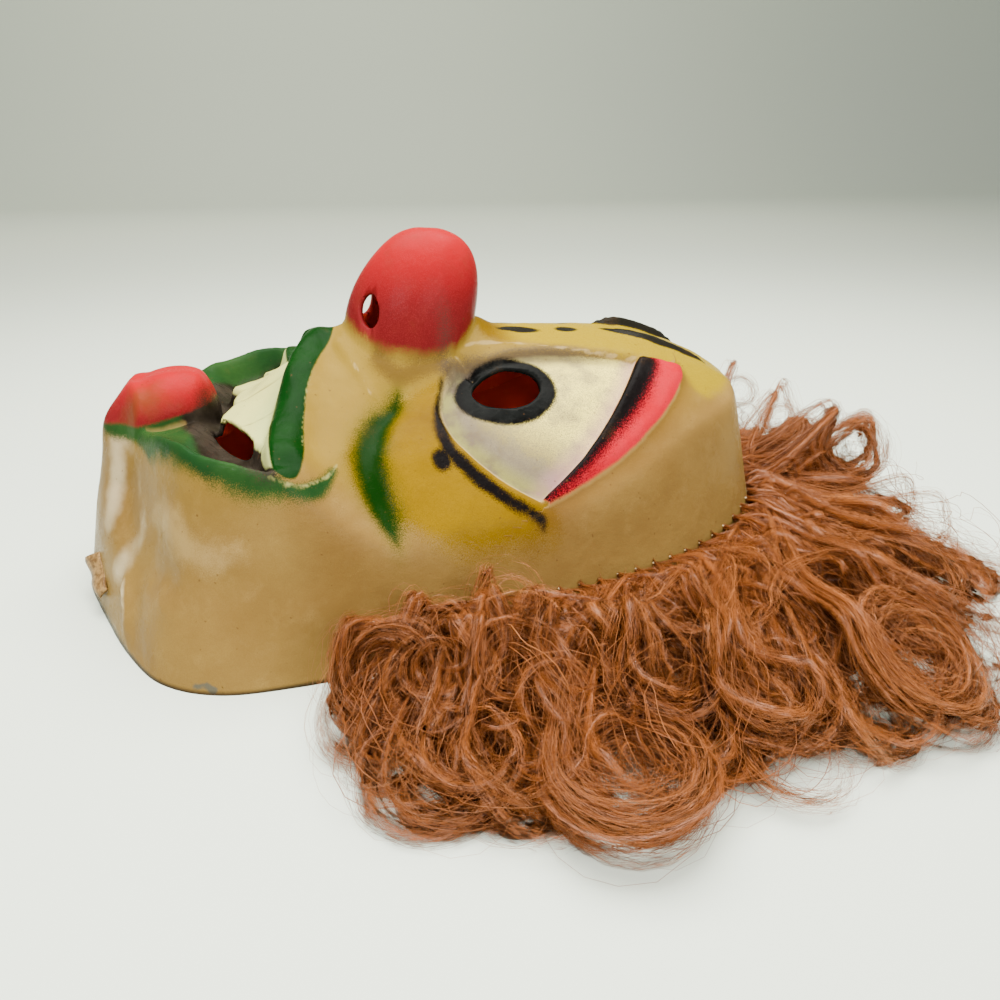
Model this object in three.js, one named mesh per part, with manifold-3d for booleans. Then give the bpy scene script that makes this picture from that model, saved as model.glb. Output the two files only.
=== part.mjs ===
// A plastic clown mask lying face up on its rim, with locks of curly hair round its forehead.
// Millimetres. +X runs from chin to forehead, +Y across the face, +Z up out of the face.
// The mask is the same on both sides, so every plan line is given for one side, with y as the
// distance from the midline.
import * as THREE from 'three';
import Module from 'manifold-3d';
import { mergeVertices } from 'three/addons/utils/BufferGeometryUtils.js';

const wasm = await Module();
wasm.setup();

// Driving dimensions of the shell
const SHELL_THICKNESS = 2.0;
const WALL_SLOPE = 2.75;           // wall height gained over the first millimetre in from the rim
const WALL_POWER = 1.08;           // the wall grows a little steeper as it rises
const FOREHEAD_STEEPER = { share: 0.2, from: 30, to: 105 };  // the wall's slope grows along x
const WALL_TOP_RADIUS = 7;         // rounding between the wall and the face
const CHIN_TIP = -171;             // the rim's point under the chin
const CHIN_TIP_ROUND = 7;
const CHIN_SLANT = new THREE.Vector2(0.913, -0.408);
const RIDGE_RADIUS = 5;            // rounding of the two ridges beside the chin front
const CENTRE_X = -27;              // middle of the rim's length

const RIM_STEPS = 8;                // straight stretches between two of the points
const RIM_SIDE = [
  [-205, -8], [-190, 6], [-172, 28], [-147, 56], [-124, 81], [-100, 88.6], [-60, 90.5],
  [-20, 88.6], [20, 83.5], [64.5, 71.5], [98, 53], [112.5, 34], [117.5, 12], [118, -12],
];

// Heights of the face over stations along x, each at the same distances from the midline
const STATION_Y = [0, 20, 35, 50, 67, 90];
const STATIONS = [
  { x: -160, z: [61, 62, 60, 54, 44, 25] },
  { x: -140, z: [68, 69, 69, 64, 54, 34] },
  { x: -120, z: [71, 72, 73, 72, 62, 42] },
  { x: -100, z: [77, 76, 74, 73, 72, 52] },
  { x: -80, z: [92, 85, 77, 70, 63, 40] },
  { x: -52, z: [94, 85, 75, 67, 50, 26] },
  { x: -25, z: [93, 85, 77, 65, 49, 26] },
  { x: 0, z: [95, 90, 79, 64, 47, 24] },
  { x: 30, z: [93.6, 89.3, 79, 64, 46, 23] },
  { x: 55, z: [91.3, 87.5, 78.5, 65, 47, 24] },
  { x: 82, z: [82.5, 79.5, 71.5, 60.5, 45, 24] },
  { x: 100, z: [73, 70, 63, 52, 37, 18] },
  { x: 118, z: [60, 57, 50, 40, 27, 10] },
];

// Lines of the features, one side
const EYE_TOP = [[-21, 25.5], [10, 24], [36, 24.5], [52.5, 26.5]];
const EYE_LID = [[52.5, 26.5], [38, 42], [20, 57], [1.5, 67]];
const EYE_LOW = [[1.5, 67], [-12, 60.5], [-23, 52], [-29.5, 42], [-28.5, 33], [-21, 25.5]];
const LID_OUTER = [[73, 25], [63, 38], [47, 51], [26, 61.5], [3, 68]];
const UPPER_LIP = [[-67, -12], [-67.5, 0], [-71, 15], [-77.5, 34], [-84, 50], [-87, 62]];
const TEETH_EDGE = [[-105, -6], [-105, 6], [-103, 22], [-97, 38], [-90, 52], [-86, 61]];
const LOWER_LIP = [
  [-146, -12], [-146, 0], [-143, 14], [-134, 34], [-120, 53], [-100, 66.5], [-88, 69.5], [-80, 67],
];
const CHEEK_FOLD = [[-45, 30], [-50, 37], [-56, 46], [-59, 56], [-55, 66], [-48, 76]];
const BROW = [
  [43, 14], [50, 11.5], [62, 11], [74, 14], [81.5, 18], [70, 19.5], [55, 18], [47, 16.5], [43, 14],
];

// Reliefs on the face. A width pair gives where a step starts and ends, measured across its line.
const CHEEK = { x: -24, y: 62, halfX: 34, halfY: 22, swell: 4.5, spread: 0.8 };
const EYEBALL = { x: 4, y: 42, halfX: 36, halfY: 24, swell: 2.2, spread: 0.75, edge: [-1, 3] };
const EYE_RECESS = { depth: 3.6, edge: [-3, 3.5] };
const LID = { height: 2.5, edge: [-2, 2] };
const BROW_SWELL = { height: 3.2, edge: [-1.5, 3] };
const FOLD = { depth: 4.5, width: 5, startsOver: [0, 0.15], easesOver: [0.75, 1], ease: 0.5 };
const UPPER_LIP_ROLL = { width: 8, height: 4.5, easesOver: [0.88, 1], ease: 0.6 };
const LOWER_LIP_ROLL = { width: 9, height: 2.5, startsOver: [8, 30] };
const TEETH = { sink: 1.5, underUpperLip: [3, 9], underLowerLip: [0, 8] };
const MOUTH = { depth: 8, pastTeeth: [-3, 7], withinLips: [-2, 13], pastTongue: [-122, -106] };

const NOSE = { x: -34.6, halfX: 25.6, halfY: 23.5, height: 35, lean: 0.2, fullness: 2.5 };
const NOSE_SKIRT = { height: 5, over: [0.95, 1.42] };
const TONGUE = { x: -134, halfX: 20, halfY: 17, height: 15.5, lean: 0.2, fullness: 2.3 };

// Holes
const EYE_HOLE = { x: 0, y: 34, halfX: 12.6, halfY: 6.8 };
const MOUTH_SLIT = { x: -103, y: 25, halfX: 10.5, halfY: 3.6, turn: 0.995 };
const NOSTRIL = { x: -52, z: 106, halfX: 3.4, halfZ: 6.2, tilt: -0.25 };
const HOLE_SIDES = 24;
const CUTTER_LENGTH = 80;

// Grid of the shell
const LINES_X = 52;
const LINES_Y = 34;
const BEYOND_RIM = 250;            // surely outside the rim, from the middle
const HALVINGS = 40;
const INNER_LIFT = 0.5;            // the inner skin stays this far above the rim's face
const RIM_WIDTH_SHARE = 1.1;       // the rim's face is this much wider than the skin is thick
const RIM_INWARD_TURN = 1.6;       // turns the inward direction towards the midline
const WALL_SHARE_OF_LINES = 0.27;
const WALL_SHARE_OF_WIDTH = 0.2;

// Hair
const LOCK_COUNT = 14;
const LOCK_GAP = 1.6;
const LOCK_CLEAR_OF_RIM = 1.5;
const LOCK_ROOT_HEIGHT = 34;
const LOCK_TIP_HEIGHT = 12;
const LOCK_SIDE_SHARE = 0.45;      // a lock's sides stand this share of its middle's height
const LOCK_STEPS = 4;
const LOCK_ARCH_STEPS = 4;
const HAIR_EDGE = [
  [-97, 108], [-84, 137], [-46, 160], [-6, 176], [43, 178], [92, 172], [132, 148], [168, 112],
  [200, 70], [218, 32], [222, 0],
];
const HAIR_START_X = -66;

const TAN = { color: 0xbf9f6c, roughness: 0.35, metalness: 0 };
const AUBURN = { color: 0xab6440, roughness: 0.6, metalness: 0 };

// Small functions of shape

function smoothMin(a, b, radius) {
  const h = THREE.MathUtils.clamp(0.5 + 0.5 * (b - a) / radius, 0, 1);
  return b * (1 - h) + a * h - radius * h * (1 - h);
}

function rise(from, to, value) {
  return THREE.MathUtils.smoothstep(value, from, to);
}

function bell(distance, width) {
  return Math.exp(-((distance / width) ** 2));
}

// A smooth line through the points, as short straight stretches
function lineThrough(points, stepsEach = 6) {
  const spline = new THREE.SplineCurve(points.map(([x, y]) => new THREE.Vector2(x, y)));
  return spline.getPoints((points.length - 1) * stepsEach);
}

// Distance from a plan point to a line, which side it is on (left is +1), and the share passed
function alongLine(x, y, line) {
  let best = { distance: Infinity, side: 1, share: 0 };
  for (let i = 0; i < line.length - 1; i += 1) {
    const a = line[i];
    const stretch = line[i + 1].clone().sub(a);
    const rel = new THREE.Vector2(x, y).sub(a);
    const t = THREE.MathUtils.clamp(rel.dot(stretch) / stretch.lengthSq(), 0, 1);
    const distance = rel.clone().addScaledVector(stretch, -t).length();
    if (distance < best.distance - 1e-9) {
      best = { distance, side: Math.sign(stretch.cross(rel)), share: (i + t) / (line.length - 1) };
    }
  }
  return best;
}

// Depth of a plan point inside a closed outline, negative outside
function depthInside(x, y, outline) {
  let within = false;
  for (let i = 0; i < outline.length - 1; i += 1) {
    const a = outline[i];
    const b = outline[i + 1];
    if ((a.y > y) !== (b.y > y) && x < (b.x - a.x) * (y - a.y) / (b.y - a.y) + a.x) {
      within = !within;
    }
  }
  const { distance } = alongLine(x, y, outline);
  return within ? distance : -distance;
}

// A monotone cubic through knots, so no section swings past its own heights
function cubicThrough(xs, ys, value, flatStart) {
  const gaps = xs.slice(1).map((x, i) => x - xs[i]);
  const slopes = gaps.map((gap, i) => (ys[i + 1] - ys[i]) / gap);
  const tangent = (k) => {
    if (k === 0) return flatStart ? 0 : slopes[0];
    if (k === slopes.length) return slopes[k - 1];
    const product = slopes[k - 1] * slopes[k];
    return product > 0 ? 2 * product / (slopes[k - 1] + slopes[k]) : 0;
  };
  let k = 0;
  while (k < gaps.length - 1 && value > xs[k + 1]) k += 1;
  const t = THREE.MathUtils.clamp((value - xs[k]) / gaps[k], 0, 1);
  const start = (2 * t ** 3 - 3 * t ** 2 + 1) * ys[k] + (t ** 3 - 2 * t ** 2 + t) * gaps[k] * tangent(k);
  const end = (3 * t ** 2 - 2 * t ** 3) * ys[k + 1] + (t ** 3 - t ** 2) * gaps[k] * tangent(k + 1);
  return start + end;
}

// The rim and the walls

const rimSide = lineThrough(RIM_SIDE, RIM_STEPS);

// How far a plan point lies inside the rim: the side line and the chin's slanted front together
function insideRim(x, y) {
  const side = alongLine(x, y, rimSide);
  const fromSide = -side.side * side.distance;
  const across = Math.hypot(y, CHIN_TIP_ROUND) - CHIN_TIP_ROUND;
  const fromChin = (x - CHIN_TIP) * CHIN_SLANT.x + across * CHIN_SLANT.y;
  return smoothMin(fromSide, fromChin, RIDGE_RADIUS);
}

function wallHeight(inside, x) {
  const steeper = 1 + FOREHEAD_STEEPER.share * rise(FOREHEAD_STEEPER.from, FOREHEAD_STEEPER.to, x);
  return WALL_SLOPE * Math.max(inside, 0) ** WALL_POWER * steeper;
}

// Distance from the middle of the face to the rim in one direction, found by halving
function rimReach(angle) {
  let near = 0;
  let far = BEYOND_RIM;
  for (let i = 0; i < HALVINGS; i += 1) {
    const middle = (near + far) / 2;
    const x = CENTRE_X + middle * Math.cos(angle);
    const y = Math.abs(middle * Math.sin(angle));
    if (insideRim(x, y) > 0) near = middle;
    else far = middle;
  }
  return near;
}

// The face

const eyeLid = lineThrough(EYE_LID);
const eyeOutline = [...lineThrough(EYE_TOP), ...eyeLid, ...lineThrough(EYE_LOW)];
const lidOutline = [...eyeLid, ...lineThrough(LID_OUTER).reverse(), eyeLid[0]];
const upperLip = lineThrough(UPPER_LIP);
const teethEdge = lineThrough(TEETH_EDGE);
const lowerLip = lineThrough(LOWER_LIP);
const cheekFold = lineThrough(CHEEK_FOLD);
const browOutline = lineThrough(BROW);

function stationHeight(x, y) {
  const heights = STATIONS.map((station) => cubicThrough(STATION_Y, station.z, y, true));
  return cubicThrough(STATIONS.map((station) => station.x), heights, x, false);
}

function swelling(x, y, form) {
  const r = Math.hypot((x - form.x) / form.halfX, (y - form.y) / form.halfY);
  return form.swell * bell(r, form.spread);
}

function eyeRelief(x, y) {
  const recess = depthInside(x, y, eyeOutline);
  const lid = depthInside(x, y, lidOutline);
  return -EYE_RECESS.depth * rise(...EYE_RECESS.edge, recess)
    + swelling(x, y, EYEBALL) * rise(...EYEBALL.edge, recess)
    + LID.height * rise(...LID.edge, lid)
    + BROW_SWELL.height * rise(...BROW_SWELL.edge, depthInside(x, y, browOutline));
}

function cheekRelief(x, y) {
  const fold = alongLine(x, y, cheekFold);
  const fade = rise(...FOLD.startsOver, fold.share) * (1 - FOLD.ease * rise(...FOLD.easesOver, fold.share));
  return swelling(x, y, CHEEK) - FOLD.depth * bell(fold.distance, FOLD.width) * fade;
}

function mouthRelief(x, y) {
  const upper = alongLine(x, y, upperLip);
  const lower = alongLine(x, y, lowerLip);
  const teeth = alongLine(x, y, teethEdge);
  const withinLips = -lower.side * lower.distance;
  const pastUpper = upper.side * upper.distance;
  const pastTeeth = teeth.side * teeth.distance;
  const ease = 1 - UPPER_LIP_ROLL.ease * rise(...UPPER_LIP_ROLL.easesOver, upper.share);
  const roll = UPPER_LIP_ROLL.height * bell(upper.distance, UPPER_LIP_ROLL.width) * ease;
  const underLips = rise(...TEETH.underUpperLip, pastUpper) * rise(...TEETH.underLowerLip, withinLips);
  const opened = rise(...MOUTH.pastTeeth, pastTeeth) * rise(...MOUTH.withinLips, withinLips);
  const besideLip = rise(...LOWER_LIP_ROLL.startsOver, y);
  const lip = LOWER_LIP_ROLL.height * bell(lower.distance, LOWER_LIP_ROLL.width) * besideLip;
  const hollow = MOUTH.depth * opened * rise(...MOUTH.pastTongue, x);
  return roll + lip - TEETH.sink * underLips - hollow;
}

function noseSkirt(x, y) {
  const r = Math.hypot((x - NOSE.x) / NOSE.halfX, y / NOSE.halfY);
  return NOSE_SKIRT.height * (1 - rise(...NOSE_SKIRT.over, r));
}

function faceHeight(x, y) {
  return stationHeight(x, y) + noseSkirt(x, y) + cheekRelief(x, y) + eyeRelief(x, y) + mouthRelief(x, y);
}

// A bulb stands on an oval footprint. Its side rises straight up, so points are spread over the
// arc of the bulb's profile and not over the plan.
function onBulb(x, y, bulb) {
  const r = Math.hypot((x - bulb.x) / bulb.halfX, y / bulb.halfY);
  if (r >= 1 || r < 1e-9) {
    return { x, y, up: r < 1 ? bulb.height : 0 };
  }
  const angle = r * Math.PI / 2;
  const spread = Math.sin(angle) ** (2 / bulb.fullness) / r;
  const up = bulb.height * Math.cos(angle) ** (2 / bulb.fullness);
  return { x: bulb.x + (x - bulb.x) * spread, y: y * spread, up };
}

// A point of the outer skin over a plan point
function skinPoint(planX, planY) {
  const nose = onBulb(planX, planY, NOSE);
  const tongue = onBulb(nose.x, nose.y, TONGUE);
  const y = Math.abs(tongue.y);
  const face = faceHeight(tongue.x, y);
  const wall = wallHeight(insideRim(tongue.x, y), tongue.x);
  const z = smoothMin(face, wall, WALL_TOP_RADIUS) + nose.up + tongue.up;
  const lean = nose.up * NOSE.lean + tongue.up * TONGUE.lean;
  return new THREE.Vector3(tongue.x + lean, tongue.y, z);
}

// The shell

// Grid lines stand closer together over the wall, which is steep
function gridShare(index, count) {
  const t = 2 * index / count - 1;
  const inner = 1 - WALL_SHARE_OF_LINES;
  const size = Math.abs(t);
  if (size <= inner) {
    return Math.sign(t) * size / inner * (1 - WALL_SHARE_OF_WIDTH);
  }
  return Math.sign(t) * (1 - WALL_SHARE_OF_WIDTH * (1 - size) / WALL_SHARE_OF_LINES);
}

// A square grid drawn out over the oval inside the rim
function planPoint(u, v) {
  const a = u * Math.sqrt(1 - v * v / 2);
  const b = v * Math.sqrt(1 - u * u / 2);
  const share = Math.min(Math.hypot(a, b), 1);
  const angle = Math.atan2(b, a);
  const reach = share * rimReach(angle);
  return new THREE.Vector2(CENTRE_X + reach * Math.cos(angle), reach * Math.sin(angle));
}

function skinAt(u, v) {
  const plan = planPoint(u, v);
  return skinPoint(plan.x, plan.y);
}

// Where the inner skin meets the rim's face: one wall thickness in from the rim
function innerRim(outer) {
  const inwards = new THREE.Vector2(CENTRE_X - outer.x, -outer.y * RIM_INWARD_TURN).normalize();
  const width = SHELL_THICKNESS * RIM_WIDTH_SHARE;
  return new THREE.Vector3(outer.x + inwards.x * width, outer.y + inwards.y * width, 0);
}

function shellGeometry() {
  const columns = LINES_Y + 1;
  const outerCount = (LINES_X + 1) * columns;
  const outer = [];
  const onRim = [];
  for (let i = 0; i <= LINES_X; i += 1) {
    for (let j = 0; j <= LINES_Y; j += 1) {
      const point = skinAt(gridShare(i, LINES_X), gridShare(j, LINES_Y));
      const rim = i === 0 || j === 0 || i === LINES_X || j === LINES_Y;
      if (rim) point.z = 0;
      outer.push(point);
      onRim.push(rim);
    }
  }
  const at = (i, j, layer) => layer * outerCount + i * columns + j;
  const outerFaces = [];
  const innerFaces = [];
  const rimFaces = [];
  const quad = (list, a, b, c, d) => list.push(a, b, c, a, c, d);
  for (let i = 0; i < LINES_X; i += 1) {
    for (let j = 0; j < LINES_Y; j += 1) {
      quad(outerFaces, at(i, j, 0), at(i + 1, j, 0), at(i + 1, j + 1, 0), at(i, j + 1, 0));
      quad(innerFaces, at(i, j, 1), at(i, j + 1, 1), at(i + 1, j + 1, 1), at(i + 1, j, 1));
    }
  }
  for (let i = 0; i < LINES_X; i += 1) {
    quad(rimFaces, at(i, 0, 0), at(i, 0, 1), at(i + 1, 0, 1), at(i + 1, 0, 0));
    quad(rimFaces, at(i, LINES_Y, 0), at(i + 1, LINES_Y, 0), at(i + 1, LINES_Y, 1), at(i, LINES_Y, 1));
  }
  for (let j = 0; j < LINES_Y; j += 1) {
    quad(rimFaces, at(0, j, 0), at(0, j + 1, 0), at(0, j + 1, 1), at(0, j, 1));
    quad(rimFaces, at(LINES_X, j, 0), at(LINES_X, j, 1), at(LINES_X, j + 1, 1), at(LINES_X, j + 1, 0));
  }

  // The inner skin lies one thickness inside the outer one, along its own smoothed normals
  const skin = new THREE.BufferGeometry().setFromPoints(outer);
  skin.setIndex(outerFaces);
  skin.computeVertexNormals();
  const normal = new THREE.Vector3();
  const inner = outer.map((point, k) => {
    if (onRim[k]) return innerRim(point);
    normal.fromBufferAttribute(skin.attributes.normal, k);
    const under = point.clone().addScaledVector(normal, -SHELL_THICKNESS);
    under.z = Math.max(under.z, INNER_LIFT);
    return under;
  });
  const geometry = new THREE.BufferGeometry().setFromPoints([...outer, ...inner]);
  geometry.setIndex([...outerFaces, ...innerFaces, ...rimFaces]);
  return geometry;
}

// Cutting the holes

function asSolid(geometry) {
  const bare = geometry.clone();
  bare.deleteAttribute('normal');
  bare.deleteAttribute('uv');
  const merged = mergeVertices(bare, 1e-4);
  return new wasm.Manifold(new wasm.Mesh({
    numProp: 3,
    vertProperties: new Float32Array(merged.attributes.position.array),
    triVerts: new Uint32Array(merged.index.array),
  }));
}

function asGeometry(solid) {
  const mesh = solid.getMesh();
  const geometry = new THREE.BufferGeometry();
  geometry.setAttribute('position', new THREE.Float32BufferAttribute(mesh.vertProperties, 3));
  geometry.setIndex(Array.from(mesh.triVerts));
  return geometry;
}

function ovalBar(halfX, halfY) {
  const outline = new THREE.Shape();
  outline.absellipse(0, 0, halfX, halfY, 0, 2 * Math.PI, false, 0);
  const options = { depth: CUTTER_LENGTH, bevelEnabled: false, curveSegments: HOLE_SIDES };
  return new THREE.ExtrudeGeometry(outline, options).translate(0, 0, -CUTTER_LENGTH / 2);
}

function holeCutters() {
  const cutters = [];
  for (const side of [-1, 1]) {
    const eye = ovalBar(EYE_HOLE.halfX, EYE_HOLE.halfY);
    cutters.push(eye.translate(EYE_HOLE.x, side * EYE_HOLE.y, CUTTER_LENGTH));
    const slit = ovalBar(MOUTH_SLIT.halfX, MOUTH_SLIT.halfY).rotateZ(side * MOUTH_SLIT.turn);
    cutters.push(slit.translate(MOUTH_SLIT.x, side * MOUTH_SLIT.y, CUTTER_LENGTH));
  }
  // One bar across the nose opens both nostrils
  const nostrils = ovalBar(NOSTRIL.halfX, NOSTRIL.halfZ).rotateZ(-NOSTRIL.tilt).rotateX(Math.PI / 2);
  cutters.push(nostrils.translate(NOSTRIL.x, 0, NOSTRIL.z));
  return cutters;
}

function buildShell() {
  const cut = holeCutters().reduce((solid, bar) => solid.subtract(asSolid(bar)), asSolid(shellGeometry()));
  const shell = new THREE.Mesh(asGeometry(cut), new THREE.MeshStandardMaterial(TAN));
  shell.name = 'mask_shell';
  return shell;
}

// Hair

// The line of the roots: outside the rim, from one temple round the forehead to the other
function rootLine() {
  const oneSide = rimSide.filter((p) => p.x >= HAIR_START_X && p.y >= 0);
  const outwards = oneSide.map((p, i) => {
    const before = oneSide[Math.max(i - 1, 0)];
    const after = oneSide[Math.min(i + 1, oneSide.length - 1)];
    const tangent = after.clone().sub(before).normalize();
    return new THREE.Vector2(p.x - tangent.y * LOCK_CLEAR_OF_RIM, p.y + tangent.x * LOCK_CLEAR_OF_RIM);
  });
  return bothSides(outwards);
}

// Near side first, then the far side backwards
function bothSides(oneSide) {
  const near = oneSide.map((p) => new THREE.Vector2(p.x, -p.y));
  return [...near, ...oneSide.slice().reverse().slice(oneSide.at(-1).y < 0.5 ? 1 : 0)];
}

// Point of a line at a share of its length
function atShare(line, share) {
  const lengths = [0];
  for (let i = 1; i < line.length; i += 1) {
    lengths.push(lengths[i - 1] + line[i].distanceTo(line[i - 1]));
  }
  const target = share * lengths.at(-1);
  let i = 1;
  while (i < line.length - 1 && lengths[i] < target) i += 1;
  const t = (target - lengths[i - 1]) / (lengths[i] - lengths[i - 1]);
  return line[i - 1].clone().lerp(line[i], t);
}

const roots = rootLine();
const hairEdge = bothSides(lineThrough(HAIR_EDGE));

// One lock: a flat-bottomed tapering lump between two spokes of the fan of hair
function lockGeometry(number) {
  const positions = [];
  const index = [];
  const columns = LOCK_ARCH_STEPS + 1;
  for (let s = 0; s <= LOCK_STEPS; s += 1) {
    const out = s / LOCK_STEPS;
    const height = THREE.MathUtils.lerp(LOCK_ROOT_HEIGHT, LOCK_TIP_HEIGHT, out);
    const spoke = (share) => atShare(roots, share).lerp(atShare(hairEdge, share), out);
    const across = spoke((number + 1) / LOCK_COUNT).sub(spoke(number / LOCK_COUNT)).normalize();
    for (let a = 0; a < columns; a += 1) {
      const t = a / LOCK_ARCH_STEPS;
      const aside = (0.5 - t) * LOCK_GAP;
      const p = spoke((number + t) / LOCK_COUNT).addScaledVector(across, aside);
      const arch = LOCK_SIDE_SHARE + (1 - LOCK_SIDE_SHARE) * Math.sin(Math.PI * t);
      positions.push(p.x, p.y, height * arch, p.x, p.y, 0);
    }
  }
  const top = (s, a) => 2 * (s * columns + a);
  const floor = (s, a) => top(s, a) + 1;
  const quad = (p, q, r, t) => index.push(p, q, r, p, r, t);
  for (let s = 0; s < LOCK_STEPS; s += 1) {
    for (let a = 0; a < LOCK_ARCH_STEPS; a += 1) {
      quad(top(s, a), top(s + 1, a), top(s + 1, a + 1), top(s, a + 1));
      quad(floor(s, a), floor(s, a + 1), floor(s + 1, a + 1), floor(s + 1, a));
    }
    const last = LOCK_ARCH_STEPS;
    quad(floor(s, 0), floor(s + 1, 0), top(s + 1, 0), top(s, 0));
    quad(floor(s, last), top(s, last), top(s + 1, last), floor(s + 1, last));
  }
  for (let a = 0; a < LOCK_ARCH_STEPS; a += 1) {
    const s = LOCK_STEPS;
    quad(floor(0, a), top(0, a), top(0, a + 1), floor(0, a + 1));
    quad(floor(s, a), floor(s, a + 1), top(s, a + 1), top(s, a));
  }
  const geometry = new THREE.BufferGeometry();
  geometry.setAttribute('position', new THREE.Float32BufferAttribute(positions, 3));
  geometry.setIndex(index);
  return geometry;
}

function buildLocks() {
  const locks = new THREE.Group();
  for (let number = 0; number < LOCK_COUNT; number += 1) {
    const lock = new THREE.Mesh(lockGeometry(number), new THREE.MeshStandardMaterial(AUBURN));
    lock.name = `hair_lock_${String(number + 1).padStart(2, '0')}`;
    locks.add(lock);
  }
  return locks;
}

// The whole mask, moved so that the middle of its underside is the origin
const mask = new THREE.Group();
mask.add(buildShell());
mask.add(buildLocks());
const middle = new THREE.Box3().setFromObject(mask).getCenter(new THREE.Vector3());
mask.position.set(-middle.x, -middle.y, 0);

export default mask;
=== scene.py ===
"""A plastic clown mask lying face up on its rim, with curly hair fanned round its forehead.

The face is a height field over a plan. A square grid is drawn out over the oval inside the rim.
Over each plan point the height is the lower, smoothly joined, of two surfaces: the wall, which
rises from the rim as a power of the distance inside it, and the face, a set of sections with the
lips, lids, folds and brows added as reliefs along plan lines. The nose and the tongue are bulbs
whose sides rise straight up, so plan points over them are spread along the arc of a superellipse.
The paint is stored on the skin as distances in millimetres from the edge of each painted area,
and the material turns those distances into airbrushed or crisp edges.
Hair grows from punched holes along guide lines that swing out and end in curls. Round each guide
lie tapered three-sided hairs and thin sheets, which the material cuts into fibres.
"""

import math
from collections import namedtuple

import bpy
import numpy as np
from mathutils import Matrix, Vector


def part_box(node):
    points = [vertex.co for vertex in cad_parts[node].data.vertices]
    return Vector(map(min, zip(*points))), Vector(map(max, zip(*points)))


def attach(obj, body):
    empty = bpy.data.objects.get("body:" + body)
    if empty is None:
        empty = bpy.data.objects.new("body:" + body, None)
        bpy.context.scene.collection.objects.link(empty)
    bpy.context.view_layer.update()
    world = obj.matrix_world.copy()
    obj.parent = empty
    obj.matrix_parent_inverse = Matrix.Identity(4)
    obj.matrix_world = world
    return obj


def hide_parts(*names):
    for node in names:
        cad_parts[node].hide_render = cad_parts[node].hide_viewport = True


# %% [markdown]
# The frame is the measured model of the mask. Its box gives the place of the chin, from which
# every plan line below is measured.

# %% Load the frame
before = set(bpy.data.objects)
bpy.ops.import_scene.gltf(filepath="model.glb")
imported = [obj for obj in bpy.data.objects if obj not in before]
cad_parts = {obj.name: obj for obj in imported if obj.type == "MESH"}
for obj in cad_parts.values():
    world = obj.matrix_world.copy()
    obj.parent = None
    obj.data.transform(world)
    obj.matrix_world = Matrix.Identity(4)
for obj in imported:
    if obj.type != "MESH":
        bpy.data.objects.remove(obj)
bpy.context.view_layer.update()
MM = 0.001
CHIN_TIP = -171.0
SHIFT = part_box("mask_shell")[0].x / MM - CHIN_TIP
print("plan lines are moved by", round(SHIFT, 3), "mm along x")

# %% [markdown]
# The camera stands close to the near side of the mask and looks down on it, so the perspective
# is strong. It could be aimed by a constraint, but a place and two angles are easier to match with
# a photograph: the angles move the whole picture, and the place changes how parts cover each other.

# %% Camera
CAMERA_PLACE = (-72.4, -299.4, 161.0)
CAMERA_TURN = math.radians(-14.0)
CAMERA_DOWN = math.radians(25.2)
SENSOR, LENS = 36.0, 27.04

camera_data = bpy.data.cameras.new("photo_camera")
camera_data.sensor_width = SENSOR
camera_data.lens = LENS
camera_data.clip_start = 0.01
camera = bpy.data.objects.new("photo_camera", camera_data)
camera.location = (Vector(CAMERA_PLACE) + Vector((SHIFT, 0, 0))) * MM
camera.rotation_euler = (math.pi / 2 - CAMERA_DOWN, 0.0, CAMERA_TURN)
bpy.context.scene.collection.objects.link(camera)
bpy.context.scene.camera = camera
print("camera:", [round(value, 3) for value in camera.location], "lens", LENS, "mm")

# %% [markdown]
# The stage is plain and white: a pale floor that curves up behind the mask, one large soft light
# above, a weaker one from the front, one for the back wall, and two small lamps beside the chin.
# A single sun would be simpler, but glossy plastic needs large lights, for soft bright patches.

# %% Floor and lights
def area_light(name, place, target, size, power, colour=(1.0, 1.0, 1.0)):
    """A rectangular lamp, turned so that it shines from its place at a target."""
    data = bpy.data.lights.new(name, "AREA")
    data.shape = "RECTANGLE"
    data.size, data.size_y = size
    data.energy = power
    data.color = colour
    lamp = bpy.data.objects.new(name, data)
    lamp.location = place
    lamp.rotation_euler = (Vector(target) - Vector(place)).to_track_quat("-Z", "Y").to_euler()
    bpy.context.scene.collection.objects.link(lamp)


def sweep_floor():
    """A flat floor, a quarter circle and an upright wall, well behind the mask, as one strip."""
    half, back, radius, top = 6.0, 2.2, 0.9, 2.4
    bend = [(back + radius * math.sin(a), radius - radius * math.cos(a))
            for a in np.linspace(0, math.pi / 2, 13)]
    profile = [(-5.0, 0.0)] + bend + [(back + radius, top)]
    verts = [(x, y, z) for y, z in profile for x in (-half, half)]
    faces = [(2 * i, 2 * i + 1, 2 * i + 3, 2 * i + 2) for i in range(len(profile) - 1)]
    mesh = bpy.data.meshes.new("floor")
    mesh.from_pydata(verts, [], faces)
    mesh.polygons.foreach_set("use_smooth", [True] * len(faces))
    floor = bpy.data.objects.new("floor", mesh)
    bpy.context.scene.collection.objects.link(floor)
    material = bpy.data.materials.new("floor_white")
    material.use_nodes = True
    shader = material.node_tree.nodes["Principled BSDF"]
    shader.inputs["Base Color"].default_value = (0.745, 0.82, 0.70, 1)
    shader.inputs["Roughness"].default_value = 0.7
    mesh.materials.append(material)
    return floor


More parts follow.
